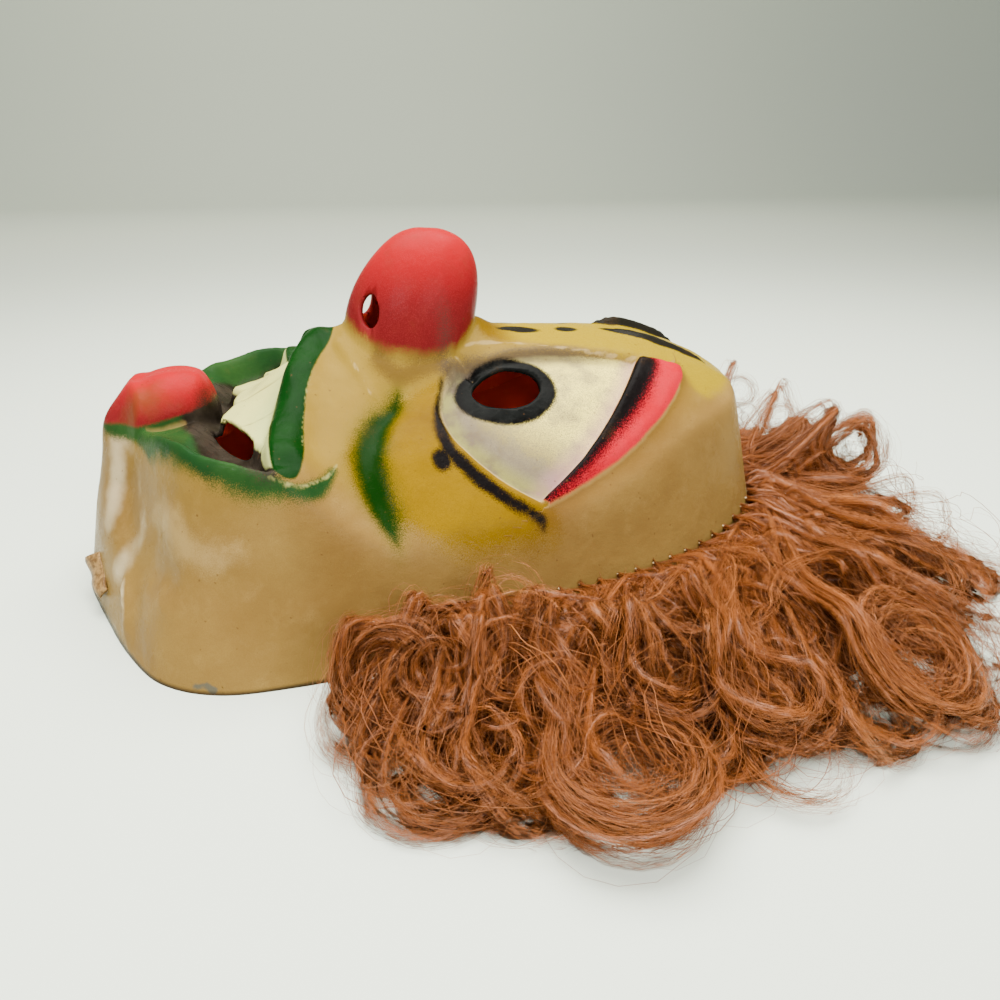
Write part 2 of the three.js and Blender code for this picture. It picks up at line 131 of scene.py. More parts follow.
sweep_floor()
PALE, WHITE, WARM = (1.0, 0.98, 0.91), (1.0, 0.98, 0.95), (1.0, 0.95, 0.82)
SPARK_TARGET, SPARK_SIZE = (-0.065, -0.02, 0.11), (0.012, 0.06)
LIGHTS = [("top_light", (0.00, 0.08, 0.74), (0, 0, 0.03), (0.80, 0.60), 24.0, PALE),
          ("front_light", (0.20, -0.80, 0.50), (0.02, -0.05, 0.03), (0.5, 0.3), 7.2, WHITE),
          ("back_light", (0.0, 1.1, 1.3), (0.0, 2.4, 0.2), (2.0, 0.5), 25.0, WARM),
          ("spark_left", (-0.325, -0.27, 0.34), SPARK_TARGET, SPARK_SIZE, 0.6),
          ("spark_right", (-0.270, -0.30, 0.34), SPARK_TARGET, SPARK_SIZE, 0.6)]
for light in LIGHTS:
    area_light(*light)

world = bpy.data.worlds.new("pale_surroundings")
world.use_nodes = True
world.node_tree.nodes["Background"].inputs["Color"].default_value = (0.95, 0.95, 0.93, 1)
world.node_tree.nodes["Background"].inputs["Strength"].default_value = 0.46
bpy.context.scene.world = world
print("lights:", len(LIGHTS), "of", round(sum(light[4] for light in LIGHTS), 1), "watts in all")

# %% [markdown]
# Small tools for plan lines. The features of the real mask are long ridges, grooves and steps, so
# the model is drawn with lines, as seen from above. A smooth line runs through its points, and for
# any plan point we can ask how far the line is, on which side it lies, and how much of it is past.
# Sculpting by hand would also do, but a few points per line are easier to read and to correct.

# %% Plan lines
def smooth_line(points, steps=6):
    """Cubic pieces through the points. The slope at a point is half the step between its neighbours."""
    p = np.array(points, float)
    p = np.vstack([p[:1], p, p[-1:]])
    t = np.linspace(0, 1, steps, endpoint=False)[:, None]
    parts = []
    for a, b, c, d in zip(p[:-3], p[1:-2], p[2:-1], p[3:]):
        s, e = (c - a) / 2, (d - b) / 2
        parts.append((2 * b - 2 * c + s + e) * t**3 + (3 * c - 3 * b - 2 * s - e) * t**2 + s * t + b)
    return np.vstack(parts + [p[-1:]])


def along(x, y, line):
    """Distance to the nearest stretch of a line, its side (left is +1) and the share passed."""
    best = np.full(x.shape, 1e9)
    side = np.ones(x.shape)
    share = np.zeros(x.shape)
    count = len(line) - 1
    for i in range(count):
        (ax, ay), (bx, by) = line[i], line[i + 1]
        dx, dy = bx - ax, by - ay
        t = np.clip(((x - ax) * dx + (y - ay) * dy) / (dx * dx + dy * dy + 1e-12), 0, 1)
        d = np.hypot(x - ax - t * dx, y - ay - t * dy)
        closer = d < best - 1e-9
        best = np.where(closer, d, best)
        side = np.where(closer, np.sign(dx * (y - ay) - dy * (x - ax)), side)
        share = np.where(closer, (i + t) / count, share)
    return best, side, share


def depth_inside(x, y, outline):
    """Distance to a closed outline, negative outside: a ray from there crosses it an even number of times."""
    within = np.zeros(x.shape, bool)
    for (ax, ay), (bx, by) in zip(outline, np.roll(outline, -1, axis=0)):
        if ay != by:
            within ^= ((ay > y) != (by > y)) & (x < (bx - ax) * (y - ay) / (by - ay) + ax)
    distance = along(x, y, np.vstack([outline, outline[:1]]))[0]
    return np.where(within, distance, -distance)


def rise(start, end, value):
    """0 up to start, 1 from end on, and 3 t^2 - 2 t^3 between them."""
    t = np.clip((value - start) / (end - start), 0, 1)
    return t * t * (3 - 2 * t)


def bell(distance, width):
    """1 on the line, and exp(-(distance / width)^2) beside it."""
    return np.exp(-(distance / width) ** 2)


def smooth_min(a, b, radius):
    """The lower of two heights, with the edge where they cross rounded off."""
    h = np.clip(0.5 + 0.5 * (b - a) / radius, 0, 1)
    return b * (1 - h) + a * h - radius * h * (1 - h)


def cubic_slopes(knots, values):
    """Slopes for a cubic without overshoot: the harmonic mean of the steps beside a knot, or 0 at a turn."""
    gaps = np.diff(knots)[:, None]
    steps = np.diff(values, axis=0) / gaps
    product = steps[:-1] * steps[1:]
    inner = np.where(product > 0, 2 * product / (steps[:-1] + steps[1:] + 1e-12), 0)
    return np.vstack([steps[:1], inner, steps[-1:]])


def cubic_through(knots, values, slopes, at):
    """Hermite cubics between knots. values and slopes are (knot, column), at is one number per column."""
    k = np.clip(np.searchsorted(knots, at) - 1, 0, len(knots) - 2)
    column = np.arange(len(at))
    gap = knots[k + 1] - knots[k]
    t = np.clip((at - knots[k]) / gap, 0, 1)
    start = (2 * t**3 - 3 * t**2 + 1) * values[k, column] + (t**3 - 2 * t**2 + t) * gap * slopes[k, column]
    end = (3 * t**2 - 2 * t**3) * values[k + 1, column] + (t**3 - t**2) * gap * slopes[k + 1, column]
    return start + end


def soft_noise(x, y, size, seed, waves=14):
    """The sum of some sine waves in random directions, each 1.2 to 3 times as long as size."""
    rng = np.random.default_rng(seed)
    total = np.zeros(np.shape(x))
    for _ in range(waves):
        angle = rng.uniform(0, 2 * math.pi)
        pitch = 2 * math.pi / (size * rng.uniform(1.2, 3.0))
        total += np.sin(pitch * (x * math.cos(angle) + y * math.sin(angle)) + rng.uniform(0, 6.28))
    return total / math.sqrt(waves)


print("a smooth line through three points has", len(smooth_line([(0, 0), (1, 1), (2, 0)])), "points")

# %% [markdown]
# The rim and the sections of the face, in millimetres. The mask is nearly the same on both sides,
# so each line is given for one side, with y as the distance from the midline. The face is a height
# above the plan, which one function can give, because a thin sheet drawn over a mould has no
# undercuts. The sections are thirteen cuts across it, from the chin to the forehead.

# %% Rim and sections
RIM_SIDE = smooth_line([
    (-205, -8), (-190, 6), (-172, 28), (-151, 57), (-133, 79.5), (-114, 90), (-90, 92), (-60, 90.5),
    (-20, 88.6), (20, 83.5), (64.5, 71.5), (98, 53), (112.5, 34), (117.5, 12), (118, -12)], 8)
CENTRE_X = -27.0
THICKNESS = 2.0

STATION_Y = np.array([0, 20, 35, 50, 67, 90.0])
STATION_X = np.array([-160, -140, -120, -100, -80, -52, -25, 0, 30, 55, 82, 100, 118.0])
SECTIONS = np.array([
    [61, 62, 60, 54, 44, 25], [68, 69, 69, 64, 54, 34], [71, 72, 73, 72, 62, 42],
    [77, 76, 74, 73, 72, 52], [92, 85, 77, 70, 63, 40], [94, 85, 75, 67, 50, 26],
    [93, 85, 77, 65, 49, 26], [95, 90, 79, 64, 47, 24], [93.6, 89.3, 79, 64, 46, 23],
    [91.3, 87.5, 78.5, 65, 47, 24], [82.5, 79.5, 71.5, 60.5, 45, 24], [73, 70, 63, 52, 37, 18],
    [60, 57, 50, 40, 27, 10]], float)


def inside_rim(x, y):
    """Distance inside the rim: the lower of those from the side line and from the slanted chin, smoothed."""
    distance, side, _ = along(x, y, RIM_SIDE)
    from_chin = (x - CHIN_TIP) * 0.913 - (np.hypot(y, 7.0) - 7.0) * 0.408
    return smooth_min(-side * distance, from_chin, 5.0)


def wall_height(inside, x):
    """A power of the distance inside the rim, which starts further in where the corners of the jaw flare."""
    flare = 5.5 * rise(-160, -142, x) * rise(-82, -112, x)
    inside = np.maximum(inside - flare * rise(0, 20, inside), 0)
    return 2.75 * inside ** 1.08 * (1 + 0.2 * rise(30, 105, x) + 0.28 * rise(-140, -160, x))


def section_height(x, y):
    """Cubics across each section, and then a cubic from section to section."""
    slopes_y = cubic_slopes(STATION_Y, SECTIONS.T)
    slopes_y[0] = 0
    heights = np.stack([cubic_through(STATION_Y, np.tile(row[:, None], (1, y.size)),
                                      np.tile(slope[:, None], (1, y.size)), y.ravel())
                        for row, slope in zip(SECTIONS, slopes_y.T)])
    return cubic_through(STATION_X, heights, cubic_slopes(STATION_X, heights), x.ravel()).reshape(x.shape)


print("sections:", len(SECTIONS), "lowest and highest:", SECTIONS.min(), SECTIONS.max(), "mm")

# %% [markdown]
# The moulded features: the sunk eye with its raised lid, the brow, the fold beside the cheek, the
# lips, the scalloped row of teeth and the hollow of the mouth. Each is one line or one outline on
# the plan. They were read off the photograph through the camera above, on the near side.

# %% Feature lines
EYE_TOP = smooth_line([(-22, 25), (10, 22.5), (36, 24.5), (51.5, 27)])
EYE_LID = smooth_line([(51.5, 27), (40, 40.5), (22, 55), (1, 68)])
EYE_LOW = smooth_line([(1, 68), (-10, 63.5), (-21, 56.5), (-28, 48), (-30, 39), (-27.5, 31), (-22, 25)])
EYE_OUTLINE = np.vstack([EYE_TOP[:-1], EYE_LID[:-1], EYE_LOW[:-1]])
LID_OUTER = smooth_line([(70, 29), (68, 35), (58, 45.5), (46, 53), (32, 59.5), (3, 70)])
LID_OUTLINE = np.vstack([EYE_LID, LID_OUTER[::-1]])
UPPER_LIP = smooth_line([(-69, -12), (-70.5, 0), (-76, 15), (-79.5, 28), (-82.5, 42), (-84, 55), (-83.5, 66)])
TEETH_EDGE = smooth_line([(-105, -6), (-105, 6), (-108, 17), (-107.3, 23), (-104, 31), (-100, 38),
                          (-94.5, 50), (-91.5, 60), (-89, 70)])
LOWER_LIP = smooth_line([(-146, -12), (-146, 0), (-143, 14), (-134, 34), (-120, 53), (-100, 66.5),
                         (-88, 69.5), (-80, 67)])
CHEEK_FOLD = smooth_line([(-45, 30), (-50, 37), (-56, 46), (-59, 56), (-55, 66), (-48, 76)])
BROW = smooth_line([(44, 4.2), (52, 4.4), (61, 5.8), (70, 8.0), (80, 11.0), (88, 15.0), (80, 15.4),
                    (72, 14.4), (62, 12.6), (52, 8.6), (44, 4.2)])[:-1]
NOSE_CREASE = smooth_line([(-64, 9), (-61, 15), (-57.5, 22), (-53.8, 29.6)])
PINCH = smooth_line([(-20.5, 20), (-18, 23), (-15, 26.5)])
RIDGE_LINE = smooth_line([(-16, 17.8), (-5.5, 15.5), (6, 17), (21.5, 20.5), (37, 23.5), (52, 26)])
TOOTH_GROOVES = [smooth_line([(-107, 8.8), (-105, 8.6), (-93, 8.2), (-80, 7.5)], 3),
                 smooth_line([(-103, 32), (-100, 31.5), (-92, 29.5), (-84, 27)], 3),
                 smooth_line([(-96, 50), (-92, 49), (-87, 46), (-82, 43)], 3)]
print("eye outline:", len(EYE_OUTLINE), "points, teeth:", len(TOOTH_GROOVES), "gaps")

# %% [markdown]
# The holes are ovals, some of them turned. The nose and the tongue are bulbs that stand on ovals.
# A height above the plan can't climb straight up, so points over a bulb are pushed out towards its
# foot: the grid then lies evenly over the ball, as it would if a disc were wrapped round it.

# %% Holes and bulbs
NOSE = dict(x=-34.6, half_x=25.6, half_y=23.5, height=35.0, lean=0.2, fullness=2.5)
TONGUE = dict(x=-135.0, half_x=24.5, half_y=20.0, height=18.6, lean=0.15, fullness=2.0)
EYE_HOLE = dict(x=-3.7, y=33.4, half_x=13.3, half_y=7.4, turn=0.0)
MOUTH_SLIT = dict(x=-104.0, y=31.8, half_x=16.8, half_y=2.7, turn=1.085, side=-1)
FAR_SLIT = dict(x=-103.2, y=30.5, half_x=11.5, half_y=3.9, turn=1.12, side=1)
NOSTRIL = dict(x=-51.6, y=11.4, half_x=2.3, half_y=4.3, turn=-0.62)


def oval_share(x, y, hole):
    """Distance from the oval's middle, measured in its half axes: 1 on its edge, less inside."""
    c, s = math.cos(hole["turn"]), math.sin(hole["turn"])
    dx, dy = x - hole["x"], y - hole["y"]
    return np.hypot((dx * c + dy * s) / hole["half_x"], (dy * c - dx * s) / hole["half_y"])


def bulb_share(x, y, bulb):
    """The same for the foot of a bulb: 1 on its edge."""
    return np.hypot((x - bulb["x"]) / bulb["half_x"], y / bulb["half_y"])


def on_bulb(x, y, bulb):
    """Spreads plan points along the arc of a superellipse, and gives the height that the bulb adds."""
    r = bulb_share(x, y, bulb)
    angle = np.minimum(r, 1) * math.pi / 2
    spread = np.where((r < 1) & (r > 1e-9), np.sin(angle) ** (2 / bulb["fullness"]) / np.maximum(r, 1e-9), 1)
    up = np.where(r < 1, bulb["height"] * np.cos(angle) ** (2 / bulb["fullness"]), 0)
    if bulb is TONGUE:
        up = up * (1 + 0.22 * (x - bulb["x"]) * spread / bulb["half_x"])
    return bulb["x"] + (x - bulb["x"]) * spread, y * spread, up


print("nose:", NOSE["height"], "mm, tongue:", TONGUE["height"], "mm above the face")

# %% [markdown]
# The reliefs: what each feature adds to the face or takes from it. They are bells beside lines and
# smooth steps across outlines, added together, so every one can be changed without the others.

# %% Reliefs
def teeth_measures(x, y):
    """Distance past the teeth's edge, which root sines scallop, and distance to the nearest gap."""
    distance, side, _ = along(x, y, TEETH_EDGE)
    wave = np.cos(math.pi / 2 * y / 8.6)
    wave = np.where(y > 8.6, np.sin(math.pi * (y - 8.6) / 22.9), wave)
    wave = np.where(y > 31.5, np.sin(math.pi * (y - 31.5) / 18.0), wave)
    notch = 2.2 - 1.7 * bell(y - 31.5, 7.0)
    past = side * distance + notch * (1 - np.sqrt(np.clip(np.abs(wave), 0, 1))) - 0.6
    gap = np.min([along(x, y, groove)[0] for groove in TOOTH_GROOVES], axis=0)
    return past, gap


def eye_relief(x, y):
    """A step down into the eye, the ball in it, and steps up on to the lid and the brow."""
    recess = depth_inside(x, y, EYE_OUTLINE)
    lid = depth_inside(x, y, LID_OUTLINE)
    ball = np.hypot((x - 4) / 36, (y - 42) / 24)
    return (-3.4 * rise(-2.2, 1.6, recess) + 2.2 * bell(ball, 0.75) * rise(-1, 3, recess)
            + 2.7 * rise(-1.4, 1.6, lid) + 1.3 * rise(-1.2, 2.4, depth_inside(x, y, BROW)))


def cheek_relief(x, y):
    """The bell of the cheek, less the fold beside it, and two creases beside the nose."""
    fold, _, share = along(x, y, CHEEK_FOLD)
    fade = rise(0, 0.15, share) * (1 - 0.5 * rise(0.75, 1, share))
    apple = np.hypot((x + 24) / 34, (y - 62) / 22)
    crease = along(x, y, NOSE_CREASE)[0]
    pinch = along(x, y, PINCH)[0]
    return (4.0 * bell(apple, 0.8) - 3.4 * bell(fold, 5.6) * fade
            + 0.9 * bell(crease, 1.6) - 1.6 * bell(pinch, 1.3))


def mouth_relief(x, y):
    """The rolled upper lip, the sunk teeth with their gaps, the hollow and the lower lip."""
    upper, side, upper_share = along(x, y, UPPER_LIP)
    lower, lower_side, _ = along(x, y, LOWER_LIP)
    past_upper = side * upper
    within = -lower_side * lower
    past_teeth, gap = teeth_measures(x, y)
    width = 6.4 + 1.8 * rise(2, 22, y)
    round_top = np.sqrt(np.clip(1 - (upper / width) ** 2, 0, 1))
    roll = np.where(past_upper > 0, round_top, bell(upper, 0.8 * width)) * 4.6
    roll = roll * (1 - 0.75 * rise(0.86, 1, upper_share))
    under_roll = rise(width - 3, width + 2, past_upper)
    sink = 3.2 * under_roll * rise(0, 8, within)
    sink = sink + 3.0 * rise(34, 14, y) * under_roll * rise(width + 16, width + 4, past_upper)
    on_teeth = rise(width - 1, width + 2, past_upper) * rise(1, -2, past_teeth) * rise(0, 8, within)
    groove = 0.35 * bell(gap, 0.8) * on_teeth
    hollow = 8 * rise(-1.0, 2.4, past_teeth) * rise(-1, 9, within) * rise(-119, -108, x)
    lip = 2.6 * bell(lower, 6.5) * rise(8, 30, y)
    return roll - sink - groove - hollow + lip


lip_top = mouth_relief(np.array([-80.0]), np.array([30.0]))
print("the upper lip stands", round(float(lip_top[0]), 2), "mm above the face")

# %% [markdown]
# The outer skin puts all of it together: the face with its reliefs meets the wall in a smooth
# minimum, the bulbs are set on top, and soft noise gives the dents of thin plastic. A few
# differences are only on one side, where the outline in the photograph shows them.

# %% Outer skin
def skin(plan_x, plan_y):
    """x, y, z and the distance inside the rim: the lower of face and wall, with bulbs and dents."""
    x, y, nose_up = on_bulb(plan_x, plan_y, NOSE)
    x, y, tongue_up = on_bulb(x, y, TONGUE)
    half = np.abs(y)
    inside = inside_rim(x, half)
    skirt = 5.0 * (1 - rise(0.95, 1.42, bulb_share(x, half, NOSE)))
    face = section_height(x, half) + skirt + cheek_relief(x, half)
    face = face + eye_relief(x, half) + mouth_relief(x, half)
    groove = 0.6 * bell(plan_y, 1.8) * rise(0.0, 0.5, tongue_up / TONGUE["height"])
    z = smooth_min(face, wall_height(inside, x), 7.0) + nose_up + tongue_up - groove
    dents = 0.22 * soft_noise(x, y, 16, 5) + 0.10 * soft_noise(x, y, 6, 6)
    z = z + dents * rise(2, 16, inside)
    far = rise(0, 20, y)
    z = z - far * (1.6 * bell(np.hypot(x + 128, y - 47), 17) - 5.0 * bell(np.hypot(x + 84, y - 66), 15))
    z = z - 4.4 * rise(0, -20, y) * bell(np.hypot(x + 98, y + 67), 13)
    z = z + 2.6 * rise(0, 3, y) * rise(-1.2, 2.6, depth_inside(x, y, BROW))
    slant = 0.30 * (nose_up / NOSE["height"]) ** 2 * np.maximum(NOSE["x"] - x, 0)
    return x + nose_up * NOSE["lean"] + slant + tongue_up * TONGUE["lean"], y, z, inside


crown = skin(np.array([NOSE["x"]]), np.array([0.0]))
print("the nose's middle is", round(float(crown[2][0]), 1), "mm above the floor")

# %% [markdown]
# The chin and the jaw of the real mask are knocked about: a sharp crest runs down the chin, with a
# crease beside it, and the jaw has shallow dents. Their lines run through space, since the wall is
# too steep for plan lines. The cracks, and the painted highlights and painted reflections beside
# them, are only painted.

# %% Chin and jaw
CHIN_CREST = np.array([(-139, -45.2, 40.4), (-143.2, -43, 32.5), (-146.4, -42.5, 24.6), (-147.6, -44.2, 18.2),
                       (-146.3, -49.6, 11.7), (-145.9, -53.2, 6), (-143.9, -58, 2)])
# painted highlights run along the chin's crest and along these two lines
CHIN_BAND = np.array([(-146, -14, 66), (-144.7, -22.7, 61.6), (-143.5, -30, 55), (-142.5, -36.5, 47.5),
                      (-141.5, -42, 40.5), (-147, -39.5, 30), (-150, -37, 22)])
CHIN_SIDE = np.array([(-147.5, -11, 61), (-150.8, -17, 45), (-151.5, -20, 33)])
CREASE_BESIDE = CHIN_CREST + np.array([7.0, -6.0, 0.0])
# place, reach and height of the dents and bulges of the jaw and the chin
JAW_DENTS = [((-134.5, -56.5, 30), 7, -1.7), ((-127, -64, 31), 6, -1.5), ((-124, -60, 48), 9, 1.1),
             ((-107, -74, 42), 7, 0.9), ((-128, -66, 22), 7, 0.9), ((-84, -84, 33), 9, -0.8),
             ((-157.5, -10, 54), 12, -2.6)]

# pale places where the surroundings shine back, cracks from the rim, and bare grey plastic
JAW_GLOSS = np.array([(-131, -51, 50), (-124, -60, 48), (-118, -68, 43), (-113, -72, 41)])
LOW_GLOSS = np.array([(-107, -74, 44), (-103, -76, 43)])
CRACKS = [np.array([(-132.6, -75.6, 8.5), (-132.8, -76.4, 5), (-133.4, -79, 0)]),
          np.array([(-112.5, -89, 3.6), (-112.7, -90.4, 0)]),
          np.array([(-150.6, -40.8, 16), (-149.6, -43.2, 12.5), (-151.6, -42.5, 9.5), (-154, -39.5, 6)]),
          np.array([(-77, -81.5, 32), (-73.5, -82, 30.5)])]
BARE_SPOT = np.array([(-121, -86.5, 2.2), (-118, -88, 3.2), (-115.5, -89, 1.6)])


def near_line(points, line):
    """Distance of points in space to the nearest stretch of a line through space."""
    best = np.full(points.shape[:-1], 1e9)
    for a, b in zip(line[:-1], line[1:]):
        t = np.clip(((points - a) @ (b - a)) / ((b - a) @ (b - a)), 0, 1)
        best = np.minimum(best, np.linalg.norm(points - a - t[..., None] * (b - a), axis=-1))
    return best


def knocks(points):
    """How far the skin stands out: bells round the chin's crest and its crease, and round the dents."""
    amount = 1.3 * bell(near_line(points, CHIN_CREST), 2.2)
    amount = amount - 1.3 * bell(near_line(points, CREASE_BESIDE), 5.0)
    for place, reach, height in JAW_DENTS:
        distance = np.linalg.norm(points - np.array(place, float), axis=-1)
        amount = amount + height * bell(distance, reach)
    return amount * rise(0, 4, points[..., 2])


def far_pull(x, y):
    """The far corner of the mouth is warped a few millimetres towards the forehead."""
    return 5.5 * rise(-3, 24, y) * bell(x + 84, 24) * rise(-58, -72, x)


print("dents:", len(JAW_DENTS), "cracks:", len(CRACKS))

# %% [markdown]
# The grid of the shell. Its lines crowd where the relief is fine, and the corners of the cells
# round each hole move on to the hole's edge, so the holes are cleanly cut. A Boolean would cut
# them too, but it leaves slivers, which shade badly on glossy plastic. The square grid is drawn
# out over the oval plan, because rings round a middle would crowd there and thin out at the rim.

# %% Grid of the shell
LINES_X, LINES_Y = 262, 178


def crowded(count, centres, widths, weights):
    """Line places from -1 to 1, equally spaced in the running total of a sum of bells."""
    fine = np.linspace(-1, 1, 4001)
    density = np.ones_like(fine)
    for c, w, g in zip(centres, widths, weights):
        density += g * np.exp(-((fine - c) / w) ** 2)
    total = np.concatenate([[0], np.cumsum((density[1:] + density[:-1]) / 2)])
    return np.interp(np.linspace(0, total[-1], count + 1), total, fine)


def rim_reaches(angles):
    """How far the rim is from the centre in each direction, found by halving the gap 36 times."""
    near, far = np.zeros_like(angles), np.full_like(angles, 250.0)
    for _ in range(36):
        middle = (near + far) / 2
        inner = inside_rim(CENTRE_X + middle * np.cos(angles), np.abs(middle * np.sin(angles))) > 0
        near, far = np.where(inner, middle, near), np.where(inner, far, middle)
    return near


u = crowded(LINES_X, (-0.06, -0.62, 0.1), (0.16, 0.30, 0.4), (0.9, 0.8, 0.4))
v = crowded(LINES_Y, (0.0, -0.45, 0.45), (0.2, 0.35, 0.35), (0.6, 0.5, 0.5))
grid_u, grid_v = np.meshgrid(u, v, indexing="ij")
disc_a = grid_u * np.sqrt(1 - grid_v**2 / 2)
disc_b = grid_v * np.sqrt(1 - grid_u**2 / 2)
turn_table = np.linspace(-math.pi, math.pi, 1441)
reach_table = rim_reaches(turn_table)
turn = np.arctan2(disc_b, disc_a)
reach = np.minimum(np.hypot(disc_a, disc_b), 1) * np.interp(turn, turn_table, reach_table)
plan_x = CENTRE_X + reach * np.cos(turn)
plan_y = reach * np.sin(turn)


def open_hole(hole, cells, plan_x, plan_y):
    """Leaves out the cells in a hole, and moves corners round it straight out or in to its edge."""
    mid_x = (plan_x[:-1, :-1] + plan_x[1:, :-1] + plan_x[:-1, 1:] + plan_x[1:, 1:]) / 4
    mid_y = (plan_y[:-1, :-1] + plan_y[1:, :-1] + plan_y[:-1, 1:] + plan_y[1:, 1:]) / 4
    gone = (oval_share(mid_x, np.abs(mid_y), hole) < 1) & cells
    if "side" in hole:
        gone &= mid_y * hole["side"] > 0
    cells &= ~gone
    touched = np.zeros(plan_x.shape, bool)
    kept = np.zeros(plan_x.shape, bool)
    for di in (0, 1):
        for dj in (0, 1):
            touched[di:gone.shape[0] + di, dj:gone.shape[1] + dj] |= gone
            kept[di:gone.shape[0] + di, dj:gone.shape[1] + dj] |= cells
    edge = touched & kept
    share = oval_share(plan_x, np.abs(plan_y), hole)
    sign = np.sign(plan_y)
    plan_x[edge] = hole["x"] + (plan_x[edge] - hole["x"]) / share[edge]
    new_y = hole["y"] + (np.abs(plan_y[edge]) - hole["y"]) / share[edge]
    plan_y[edge] = sign[edge] * new_y
    return int(gone.sum())


cells = np.ones((LINES_X, LINES_Y), bool)
for name, hole in (("eyes", EYE_HOLE), ("mouth", MOUTH_SLIT), ("far mouth", FAR_SLIT), ("nostrils", NOSTRIL)):
    print("cells opened for the", name, open_hole(hole, cells, plan_x, plan_y))

# %% [markdown]
# The two skins of the shell. The real sheet is about as thick everywhere, so the inner skin lies
# one thickness inside the outer one. Solidify would do that, but it folds over itself where the
# outer skin turns sharply, so here the normals are first averaged over a few cells.

# %% Skins
outer_x, outer_y, outer_z, inside = skin(plan_x, plan_y)
outer_z[[0, -1], :] = 0
outer_z[:, [0, -1]] = 0
outer = np.stack([outer_x + far_pull(outer_x, outer_y), outer_y, outer_z], axis=-1)


def averaged(field, times):
    """Each value becomes a third of itself and a sixth of each neighbour, some times over."""
    for _ in range(times):
        padded = np.pad(field, ((1, 1), (1, 1), (0, 0)), mode="edge")
        field = (padded[:-2, 1:-1] + padded[2:, 1:-1] + padded[1:-1, :-2] + padded[1:-1, 2:]
                 + 2 * padded[1:-1, 1:-1]) / 6
    return field


def outward(points):
    """Unit normals of a grid of points: the cross product of its two directions."""
    normal = np.cross(np.gradient(points, axis=0), np.gradient(points, axis=1))
    return normal / (np.linalg.norm(normal, axis=-1, keepdims=True) + 1e-12)


outer = outer + outward(outer) * knocks(outer)[..., None]
normal = outward(outer)
soft_normal = averaged(normal, 4)
soft_normal /= np.linalg.norm(soft_normal, axis=-1, keepdims=True) + 1e-12
inner = outer - THICKNESS * soft_normal
inner[..., 2] = np.maximum(inner[..., 2], 0.5)
rim = np.zeros(plan_x.shape, bool)
rim[[0, -1], :] = True
rim[:, [0, -1]] = True
inwards = np.stack([CENTRE_X - outer_x, -outer_y * 1.6], axis=-1)
inwards /= np.linalg.norm(inwards, axis=-1, keepdims=True)
inner[rim, :2] = outer[rim, :2] + inwards[rim] * THICKNESS * 1.1
inner[rim, 2] = 0


def shell_faces(cells):
    """Quads of both skins, of the rim's face and of the hole walls, as corner numbers."""
    rows, columns = cells.shape[0] + 1, cells.shape[1] + 1
    number = np.arange(rows * columns).reshape(rows, columns)
    layer = rows * columns
    a, b = number[:-1, :-1][cells], number[1:, :-1][cells]
    c, d = number[1:, 1:][cells], number[:-1, 1:][cells]
    faces = [np.stack([a, b, c, d], axis=1), np.stack([a, d, c, b], axis=1) + layer]
    framed = np.pad(cells, 1)
    here = framed[1:-1, 1:-1]
    for di, dj, start, end in ((1, 0, number[:-1, :-1], number[1:, :-1]),
                               (1, 2, number[1:, 1:], number[:-1, 1:]),
                               (0, 1, number[:-1, 1:], number[:-1, :-1]),
                               (2, 1, number[1:, :-1], number[1:, 1:])):
        beyond = framed[di:di + cells.shape[0], dj:dj + cells.shape[1]]
        edge = here & ~beyond
        p, q = start[edge], end[edge]
        faces.append(np.stack([q, p, p + layer, q + layer], axis=1))
    return np.vstack(faces)


shell_quads = shell_faces(cells)
shell_points = np.vstack([outer.reshape(-1, 3), inner.reshape(-1, 3)])
print("shell:", 2 * len(shell_quads), "triangles, highest point", round(float(outer_z.max()), 1), "mm")

# %% [markdown]
# The paint. The real mask was airbrushed by hand: some edges are crisp, others fade over a few
# millimetres. Every painted area is an outline on the plan, and each point of the skin keeps its
# distance in millimetres inside that outline. An image would fix every edge's softness once and
# for all, while with distances the material can make each edge as soft and as grainy as it likes.

# %% Painted areas
UPPER_GREEN = smooth_line([
    (-76.5, -10), (-76.5, 0), (-80.5, 8), (-84.5, 17), (-88.3, 28), (-90, 42), (-90.5, 56), (-89, 68),
    (-84.5, 70.5), (-81, 67.5), (-79.2, 58), (-78.6, 46), (-76.8, 33), (-74.5, 24), (-70.5, 14),
    (-66.5, 7), (-64.5, 0), (-64.5, -10)], 4)
LOWER_GREEN = smooth_line([
    (-154, -12), (-154, 0), (-151.5, 11), (-144, 22), (-131.5, 37.5), (-124.3, 48.5), (-118.3, 57.5),
    (-111.9, 64), (-106, 67.2), (-100.2, 69.6), (-93.9, 72), (-88, 73.5), (-81.8, 73.9), (-77.3, 72.6),
    (-73.9, 69.8), (-70.8, 64.8), (-69.2, 60), (-71.5, 60.8), (-75, 66), (-78.3, 69.2), (-81.5, 70.8),
    (-84.4, 71.2), (-88, 70.4), (-90, 66), (-90, 50), (-90, 20), (-90, -12)], 4)
MOUTH_BLACK = smooth_line([
    (-113, -12), (-113.5, 0), (-117.5, 8), (-122.5, 14), (-122, 22), (-119, 30), (-116, 38), (-113, 47),
    (-107, 57), (-100, 65), (-94, 69), (-90, 70.6), (-87.5, 69), (-84, 60), (-84, 30), (-84, -12)], 4)
YELLOW_CHEEK = smooth_line([
    (-29, 29), (-36, 30.5), (-43, 33), (-51, 36), (-59, 43), (-64.5, 52), (-64.5, 61), (-60, 68),
    (-53, 70), (-46, 72.5), (-41, 76), (-33.7, 77.9), (-24.3, 78.4), (-14.3, 77.6), (-4.4, 76.5),
    (2.7, 75.4), (6.3, 73.5), (1, 68), (-10, 63.5), (-21, 56.5), (-28, 48), (-30, 39)], 4)
